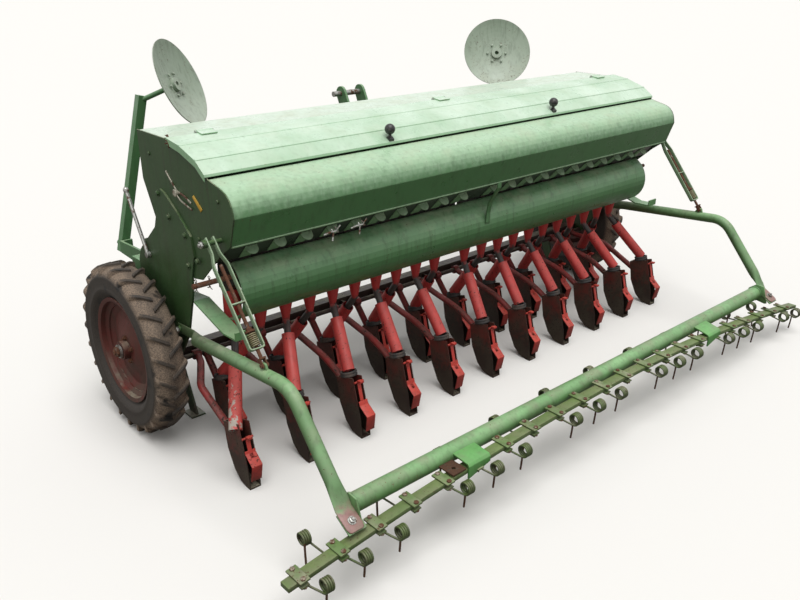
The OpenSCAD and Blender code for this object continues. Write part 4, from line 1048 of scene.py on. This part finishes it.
class DRILL_OT_coulters(Operator):
    """Models the bent coulter arms with their eyes, the rubber rings and the hinged boot flaps"""

    bl_idname = "drill.coulters"
    bl_label = "Coulters"

    def execute(self, context):
        arms, eyes, rings, flaps = [], [], [], []
        eye = spun(EYE_PROFILE, steps=28)
        ring = spun(RING_PROFILE, steps=36)
        ring_turn = Matrix.Rotation(RING_LEAN, 4, "X") @ Matrix.Rotation(math.pi / 2, 4, "Y")
        for i in range(ROWS):
            path, pivot = coulter_arm_path(i)
            arms.append(wire([place(*p) for p in path], ARM_WIRE))
            eyes.append(Matrix.Translation(place(pivot, *ROD)))
            if i:
                ring_y, ring_z = RING_AT
                seat = place(row_x(i), ring_y + RANK * (i % 2), ring_z)
                rings.append(Matrix.Translation(seat) @ ring_turn)
            flaps += boot_flap(i)
        arms.append(copies(eye, eyes))
        finished(joined(arms), "bent_coulter_arms", "frame", "red_paint", ["coulter_arms"], smooth=50,
            finish="arm_red")
        finished(copies(ring, rings), "rubber_rings", "frame", "ring_rubber", ["tube_rings"], smooth=45)
        finished(joined(flaps), "hinged_flaps", "frame", "red_paint", ["boot_flaps"], finish="flap_paint")
        return {"FINISHED"}


# Seed outlets: their places across the drill, in two groups, and the sloping floor behind them
OUTLETS = tuple(-1138 + 110 * i if i < 10 else 38 + 110 * (i - 10) for i in range(ROWS))
SLOPE, SLOPE_OUT = Vector((-0.687, 0.726)), Vector((-0.726, -0.687))
SHUTTER_FOOT, SLIDE_LONG, TAB_UP = Vector((-505.4, 793.1)), 70, 64
TAB_R, TAB_RISE, TAB_STEPS, SHUTTER_THICK, SLIDE_HALF = 23, 8, 14, 3, 22


class DRILL_OT_shutters(Operator):
    """Models the sliding shutters with their round tabs"""

    bl_idname = "drill.shutters"
    bl_label = "Shutters"

    def execute(self, context):
        tab = SHUTTER_FOOT + SLOPE * TAB_UP + SLOPE_OUT
        arc = [math.pi * k / TAB_STEPS for k in range(TAB_STEPS + 1)]
        shape = [(-TAB_R, 0), (TAB_R, 0)]
        shape += [(TAB_R * math.cos(a), TAB_RISE + TAB_R * math.sin(a)) for a in arc]
        disc = plate([place(u, *(tab + SLOPE_OUT * w)) for u, w in shape],
            Vector((0, SLOPE.x, SLOPE.y)) * SHUTTER_THICK * MM, 0.0006)
        foot = SHUTTER_FOOT + SLOPE_OUT * SHUTTER_THICK / 2
        slide = sheet_along([foot, foot + SLOPE * SLIDE_LONG], SHUTTER_THICK, -SLIDE_HALF, SLIDE_HALF)
        tabs = copies(joined([disc, slide]), [Matrix.Translation((x * MM, 0, 0)) for x in OUTLETS])
        finished(tabs, "shutter_tabs", "frame", "light_green_paint", ["shutters"], finish="tab_paint")
        return {"FINISHED"}


# Lever rod at the left front: its ends and its grip's middle, and the profiles of grip and boss
ROD_X, ROD_ENDS, ROD_WIRE = -1266, ((-38, 700), (84, 910)), 0.007
GRIP_AT, GRIP_WAY = (88, 917), (0, -0.5, -0.866)
GRIP_PROFILE = ((0.5, -12), (5, -11), (9, -7), (10.5, 0), (9.5, 6), (7, 10), (6.5, 16), (0.5, 17))
BOSS_PROFILE = ((0.5, -8), (11, -8), (12, -7), (12, 7), (11, 8), (0.5, 8))
# Setting lever on the left end, its link and its hub: distance ahead of the axle, height; then width, sides
SETTING_ARM = ((-226, 1046), (-256, 1018), (-292, 990), (-345, 983), (-386, 968))
SETTING_LINK = ((-290, 984), (-318, 965), (-396, 948))
SETTING_ARM_FORM, SETTING_LINK_FORM, SETTING_HUB_X = (7, -1253.5, -1250.3), (5.5, -1257.5, -1254.2), -1256
HUB_PROFILE = ((0.5, -5), (11, -5), (13, -3.5), (13, 4), (0.5, 4))


class DRILL_OT_lever(Operator):
    """Models the lever rod at the left front corner and the thin setting lever"""

    bl_idname = "drill.lever"
    bl_label = "Levers"

    def execute(self, context):
        rod = wire([place(ROD_X, *p) for p in ROD_ENDS], ROD_WIRE, sides=4)
        grip = spun(GRIP_PROFILE, steps=24)
        turned = Matrix.Rotation(math.radians(-90), 4, "Y")
        grip.data.transform(aim(place(ROD_X, *GRIP_AT), GRIP_WAY) @ turned)
        boss = moved(spun(BOSS_PROFILE, 28), ROD_X, *ROD_ENDS[0])
        finished(joined([rod, grip, boss]), "lever_rod", "frame", "bare_steel", ["depth_crank"])
        arm = sheet_along(rounded_flat(SETTING_ARM, 14), *SETTING_ARM_FORM)
        link = sheet_along(rounded_flat(SETTING_LINK, 10), *SETTING_LINK_FORM)
        hub = moved(spun(HUB_PROFILE, 28), SETTING_HUB_X, *SETTING_LINK[0])
        finished(joined([arm, link, hub]), "setting_lever_thin", "frame", "bare_steel", ["setting_lever"],
            finish="lever_steel")
        return {"FINISHED"}


# Harrow strut: its stirrup in its own frame, as distance across and up from the upper eye, its bars, the
# bridge between them, its spring, and its hook's nut
STIRRUP_LENGTH = (STRUT_HOOK - STRUT_EYE).length - 56
STIRRUP = ((-13, 18), (-13, -40), (-25, -80), (-25, -STIRRUP_LENGTH), (25, -STIRRUP_LENGTH), (25, -80),
    (13, -40), (13, 18))
STRAP_WIDE, STRAP_THICK, BRIDGE_LONG, BRIDGE_Z = 18, 5, 46, -212.5
SPRING_R, SPRING_WIRE, SPRING_FOOT, SPRING_HIGH = 14, 0.0026, 6, 43
HOOK_NUT_Z = -305.5


class DRILL_OT_struts(Operator):
    """Bends the stirrups of the harrow struts and winds their springs"""

    bl_idname = "drill.struts"
    bl_label = "Struts"

    def execute(self, context):
        steps = context.scene.drill_sizes.spring_turns * TURN_STEPS
        way = STRUT_HOOK - STRUT_EYE
        run = math.atan2(way.y, way.x) + math.pi / 2
        for side, s in SIDES.items():
            seat = Matrix.Translation(place(s * HARROW_X, *STRUT_EYE)) @ Matrix.Rotation(run, 4, "X")
            bent = strip(rounded_flat(STIRRUP, 8), STRAP_THICK)
            band = plate([Vector((x, -STRAP_WIDE / 2, z)) * MM for x, z in bent],
                Vector((0, STRAP_WIDE * MM, 0)), 0.0008)
            strap = joined([band, block((BRIDGE_LONG, STRAP_WIDE, STRAP_THICK), (0, 0, BRIDGE_Z), 0.8)])
            strap.data.transform(seat)
            finished(strap, f"stirrup_{side}", f"strut_{side}", "light_green_paint", [f"strut_{side}"],
                finish="strap_paint")
            path = []
            for step in range(steps + 1):
                angle = 2 * math.pi * step / TURN_STEPS
                lift = -STIRRUP_LENGTH + SPRING_FOOT + SPRING_HIGH * step / steps
                spot = Vector((SPRING_R * math.cos(angle), SPRING_R * math.sin(angle), lift))
                path.append(seat @ (spot * MM))
            finished(wire(path, SPRING_WIRE, sides=2), f"strut_spring_{side}", f"strut_{side}",
                "light_green_paint", [f"strut_{side}"], smooth=60, finish="spring_paint")
            turn = Matrix.Rotation(run, 3, "X")
            nut = Vector((s * HARROW_X, *STRUT_EYE)) + turn @ Vector((0, 0, HOOK_NUT_Z))
            pinned(f"hook_nut_{side}", f"strut_rod_{side}", "hook", [(nut, turn @ Vector((0, 0, 1)))],
                "rusty_steel")
        return {"FINISHED"}


# Lid folds: distance ahead of the axle, height, and the fold's lean in degrees; the bead on a fold; the lip's
# lower edge; and the catches at the lid's front left corner
LID_FOLDS = {"lid_bead_front": (-347, 1151, 13), "lid_bead_rear": (-445, 1121, 28)}
BEAD = ((6, 0.2), (3, 3), (-3, 3), (-6, 0.2))
LID_HALF, LIP_HALF, LIP_EDGE, LIP_WIRE = 1257, 1243, (-611, 873), 0.0045
CATCHES = ((-1257, -270, 1145), (-1244, -246, 1157))
CATCH_PATH, CATCH_THICK, CATCH_HALF = ((-12, -12), (-10, 0), (0, 12), (8, 9)), 2.5, 4
CATCH_PIN, CATCH_PIN_HALF, CATCH_WIRE = (-2, 2), 9, 0.003


class DRILL_OT_lid_trim(Operator):
    """Adds the beads on the lid's folds, the lip's rolled edge and the rusty catches at the lid's corner"""

    bl_idname = "drill.lid_trim"
    bl_label = "Lid trim"

    def execute(self, context):
        for name, (y, z, lean) in LID_FOLDS.items():
            bead = plate([Vector((-LID_HALF, *p)) * MM for p in BEAD], Vector((2 * LID_HALF * MM, 0, 0)),
                0.0008)
            turned = Matrix.Rotation(math.radians(lean), 4, "X")
            bead.data.transform(Matrix.Translation(place(0, y, z)) @ turned)
            finished(bead, name, "lid", "green_paint", smooth=30, finish="lid_paint")
        roll = wire([place(-LIP_HALF, *LIP_EDGE), place(LIP_HALF, *LIP_EDGE)], LIP_WIRE)
        finished(roll, "lip_roll", "frame", "light_green_paint", smooth=60, finish="tab_paint")
        lugs = []
        for x, y, z in CATCHES:
            lugs.append(sheet_along([(y + a, z + b) for a, b in CATCH_PATH], CATCH_THICK,
                x - CATCH_HALF, x + CATCH_HALF))
            a, b = CATCH_PIN
            pin = [place(x + s * CATCH_PIN_HALF, y + a, z + b) for s in (-1, 1)]
            lugs.append(wire(pin, CATCH_WIRE, sides=2))
        finished(joined(lugs), "lid_catches", "frame", "rusty_steel", finish="leg_steel")
        return {"FINISHED"}


# Outlet levers that show at two outlets: their places across the drill, and the wires of each as radius and
# points, across from that place, ahead of the axle and up
LEVERS = (-856, -738)
LEVER_WIRES = (
    (0.004, ((-30, -612, 838), (-12, -622, 846), (14, -622, 846), (30, -612, 838))),
    (0.0032, ((0, -614, 852), (3, -622, 846), (-6, -628, 815))),
    (0.003, ((18, -612, 856), (16, -624, 850), (34, -620, 862))))


class DRILL_OT_outlet_levers(Operator):
    """Adds the bare levers and links that show at two outlets"""

    bl_idname = "drill.outlet_levers"
    bl_label = "Outlet levers"

    def execute(self, context):
        pieces = [wire([place(x + dx, y, z) for dx, y, z in points], radius, sides=2)
            for x in LEVERS for radius, points in LEVER_WIRES]
        finished(joined(pieces), "outlet_levers", "frame", "bare_steel")
        return {"FINISHED"}


# Yellow plate on the left end: corners ahead of the axle and up, face and thickness
TAG, TAG_FACE, TAG_THICK = ((-396, 992), (-408, 1000), (-458, 962), (-446, 951)), -1250.2, 2


class DRILL_OT_tag(Operator):
    """Adds the small bare yellow plate on the left end"""

    bl_idname = "drill.tag"
    bl_label = "Yellow plate"

    def execute(self, context):
        tag = plate([place(TAG_FACE, *p) for p in TAG], Vector((-TAG_THICK * MM, 0, 0)), 0.0005)
        finished(tag, "setting_plate", "frame", "bare_steel", finish="tag_paint")
        return {"FINISHED"}


# Fillet weld between cross tube and end plate: its place, the radius it lies on, its bead, how many drops it
# is laid in, how far it thins between them, and how many vertices of the wire make a drop
WELD_X, WELD_R, WELD_BEAD, WELD_DROPS, WELD_THIN, DROP_VERTS = 1240.5, 32.5, 3.2, 26, 0.72, 6


def weld_ring(centre, axis):
    """A fillet weld round a bar, as a wire whose thickness beats like laid drops."""
    turns = [math.pi * k / WELD_DROPS for k in range(2 * WELD_DROPS + 1)]
    ring = wire([Vector((WELD_R * math.cos(a), WELD_R * math.sin(a), 0)) * MM for a in turns],
        WELD_BEAD * MM, sides=1)
    for k, v in enumerate(ring.data.vertices):
        middle = Vector((v.co.x, v.co.y, 0)).normalized() * WELD_R * MM
        v.co = middle + (v.co - middle) * (1.0 if (k // DROP_VERTS) % 2 else WELD_THIN)
    ring.data.transform(aim(place(*centre), axis))
    return ring


class DRILL_OT_welds(Operator):
    """Adds the weld beads where the cross tube meets its end plates"""

    bl_idname = "drill.welds"
    bl_label = "Weld beads"

    def execute(self, context):
        for side, s in SIDES.items():
            finished(weld_ring((s * WELD_X, *CROSS), (s, 0, 0)), f"cross_tube_weld_{side}", "harrow",
                "light_green_paint", smooth=60)
        return {"FINISHED"}


# Split pins of the flap shaft: their places along it, the shaft's axis, their wire, and the two bent legs
SPLIT_PINS, SHAFT, PIN_WIRE = (-1328, -1280), (-516, 736.5), 0.0019
PIN_LEGS = (
    ((0, 5, 15), (0, 7, 19), (0, 0, 23), (0, -7, 19), (0, -2, 13), (0, -1, -12), (1, -4, -18),
        (2, -11, -21)),
    ((0, 4, 14), (0, 2, 11), (0, 1, -12), (-1, 5, -19), (-2, 12, -20)))


class DRILL_OT_pins(Operator):
    """Adds the split pins of the flap shaft"""

    bl_idname = "drill.pins"
    bl_label = "Pins"

    def execute(self, context):
        y, z = SHAFT
        pins = [wire([place(x + dx, y + dy, z + dz) for dx, dy, dz in leg], PIN_WIRE, sides=1)
            for x in SPLIT_PINS for leg in PIN_LEGS]
        finished(joined(pins), "flap_shaft_pins", "frame", "bare_steel")
        return {"FINISHED"}


# Camera: turn, rise and roll, lens in millimetres, and place in metres from the axle's middle
VIEW_TURN, VIEW_RISE, VIEW_ROLL = math.radians(-41.95), math.radians(22.87), math.radians(0.46)
SENSOR, LENS = 36, 809 / 800 * 36
CAMERA_AT = (-2.450, -2.743, 1.709)
# Light: the world's level on the object, and each lamp's name, strength, size and turn in degrees
WORLD_LIGHT = 0.46
LAMPS = (("sky_lamp", 2.4, 50, (15, -5, 0)), ("fill_lamp", 0.25, 60, (60, 0, -60)))
# Floor: its size in metres, and its colour to the object and to the camera
FLOOR_SIZE, FLOOR_BOUNCE, FLOOR_SEEN = 120, "#85827c", "#e9e7e3"


class DRILL_OT_stage(Operator):
    """Adds the pale floor, the soft studio light and the camera"""

    bl_idname = "drill.stage"
    bl_label = "Stage, light and camera"

    def execute(self, context):
        self.add_floor(context)
        self.add_light(context)
        self.add_camera(context)
        context.scene.view_settings.view_transform = "Standard"
        return {"FINISHED"}

    def add_floor(self, context):
        bpy.ops.object.select_all(action="DESELECT")
        bpy.ops.mesh.primitive_plane_add(size=FLOOR_SIZE, location=(0, 0, 0))
        floor = context.object
        floor.name = "studio_floor"
        material = bpy.data.materials.new("matt_studio_floor")
        material.use_nodes = True
        tree = material.node_tree
        tree.nodes.clear()
        camera_ray = add(tree, "ShaderNodeLightPath", out="Is Camera Ray")
        seen = add(tree, MIX, {0: camera_ray, 6: linear(FLOOR_BOUNCE), 7: linear(FLOOR_SEEN)}, 2, **COLOUR)
        shader = add(tree, "ShaderNodeBsdfDiffuse", {"Color": seen})
        add(tree, "ShaderNodeOutputMaterial", {"Surface": shader})
        floor.data.materials.append(material)

    def add_light(self, context):
        world = bpy.data.worlds.new("studio")
        context.scene.world = world
        world.use_nodes = True
        tree = world.node_tree
        tree.nodes.clear()
        direct = add(tree, "ShaderNodeLightPath", out="Is Transmission Ray")
        for ray in ("Is Glossy Ray", "Is Camera Ray"):
            direct = add(tree, MATH, {0: add(tree, "ShaderNodeLightPath", out=ray), 1: direct}, **LARGER)
        strength = add(tree, RANGE, {0: direct, 1: 0, 2: 1, 3: WORLD_LIGHT, 4: 1})
        background = add(tree, "ShaderNodeBackground", {"Color": linear("#ffffff"), "Strength": strength})
        add(tree, "ShaderNodeOutputWorld", {"Surface": background})
        for name, energy, size, turn in LAMPS:
            lamp = bpy.data.lights.new(name, "SUN")
            lamp.energy = energy
            lamp.angle = math.radians(size)
            obj = bpy.data.objects.new(name, lamp)
            obj.rotation_euler = [math.radians(v) for v in turn]
            context.collection.objects.link(obj)

    def add_camera(self, context):
        camera = bpy.data.cameras.new("camera")
        camera.sensor_width, camera.lens = SENSOR, LENS
        camera.clip_start, camera.clip_end = 0.05, 300
        obj = bpy.data.objects.new("camera", camera)
        level = math.cos(VIEW_RISE)
        back = Vector((math.sin(VIEW_TURN) * level, -math.cos(VIEW_TURN) * level, math.sin(VIEW_RISE)))
        right = Vector((math.cos(VIEW_TURN), math.sin(VIEW_TURN), 0))
        up = back.cross(right)
        roll = Matrix.Rotation(VIEW_ROLL, 3, back)
        obj.matrix_world = Matrix.Translation(Vector(CAMERA_AT) + Vector((0, AXLE_Y, 0))) @ Matrix(
            (roll @ right, roll @ up, back)).transposed().to_4x4()
        context.collection.objects.link(obj)
        context.scene.camera = obj


class DRILL_PT_panel(Panel):
    """Lists the drill's pieces"""

    bl_idname = "DRILL_PT_panel"
    bl_label = "Seed drill"
    bl_space_type = "VIEW_3D"
    bl_region_type = "UI"
    bl_category = "Seed drill"

    def draw(self, context):
        for group in (context.scene.drill_sizes, context.scene.drill_colours):
            for key in group.__annotations__:
                self.layout.prop(group, key)
        for kind in OPERATORS:
            self.layout.operator(kind.bl_idname)


OPERATORS = (
    DRILL_OT_finishes, DRILL_OT_tyres, DRILL_OT_fasteners, DRILL_OT_harrow, DRILL_OT_tines,
    DRILL_OT_coulters, DRILL_OT_shutters, DRILL_OT_lever, DRILL_OT_struts, DRILL_OT_lid_trim,
    DRILL_OT_outlet_levers, DRILL_OT_tag, DRILL_OT_welds, DRILL_OT_pins, DRILL_OT_stage)
CLASSES = (DrillSizes, DrillColours, *OPERATORS, DRILL_PT_panel)


def register():
    for kind in CLASSES:
        bpy.utils.register_class(kind)
    bpy.types.Scene.drill_sizes = PointerProperty(type=DrillSizes)
    bpy.types.Scene.drill_colours = PointerProperty(type=DrillColours)


def unregister():
    del bpy.types.Scene.drill_colours, bpy.types.Scene.drill_sizes
    for kind in reversed(CLASSES):
        bpy.utils.unregister_class(kind)


def main():
    register()
    for kind in OPERATORS:
        group, name = kind.bl_idname.split(".")
        getattr(getattr(bpy.ops, group), name)()


if __name__ == "__main__":
    main()
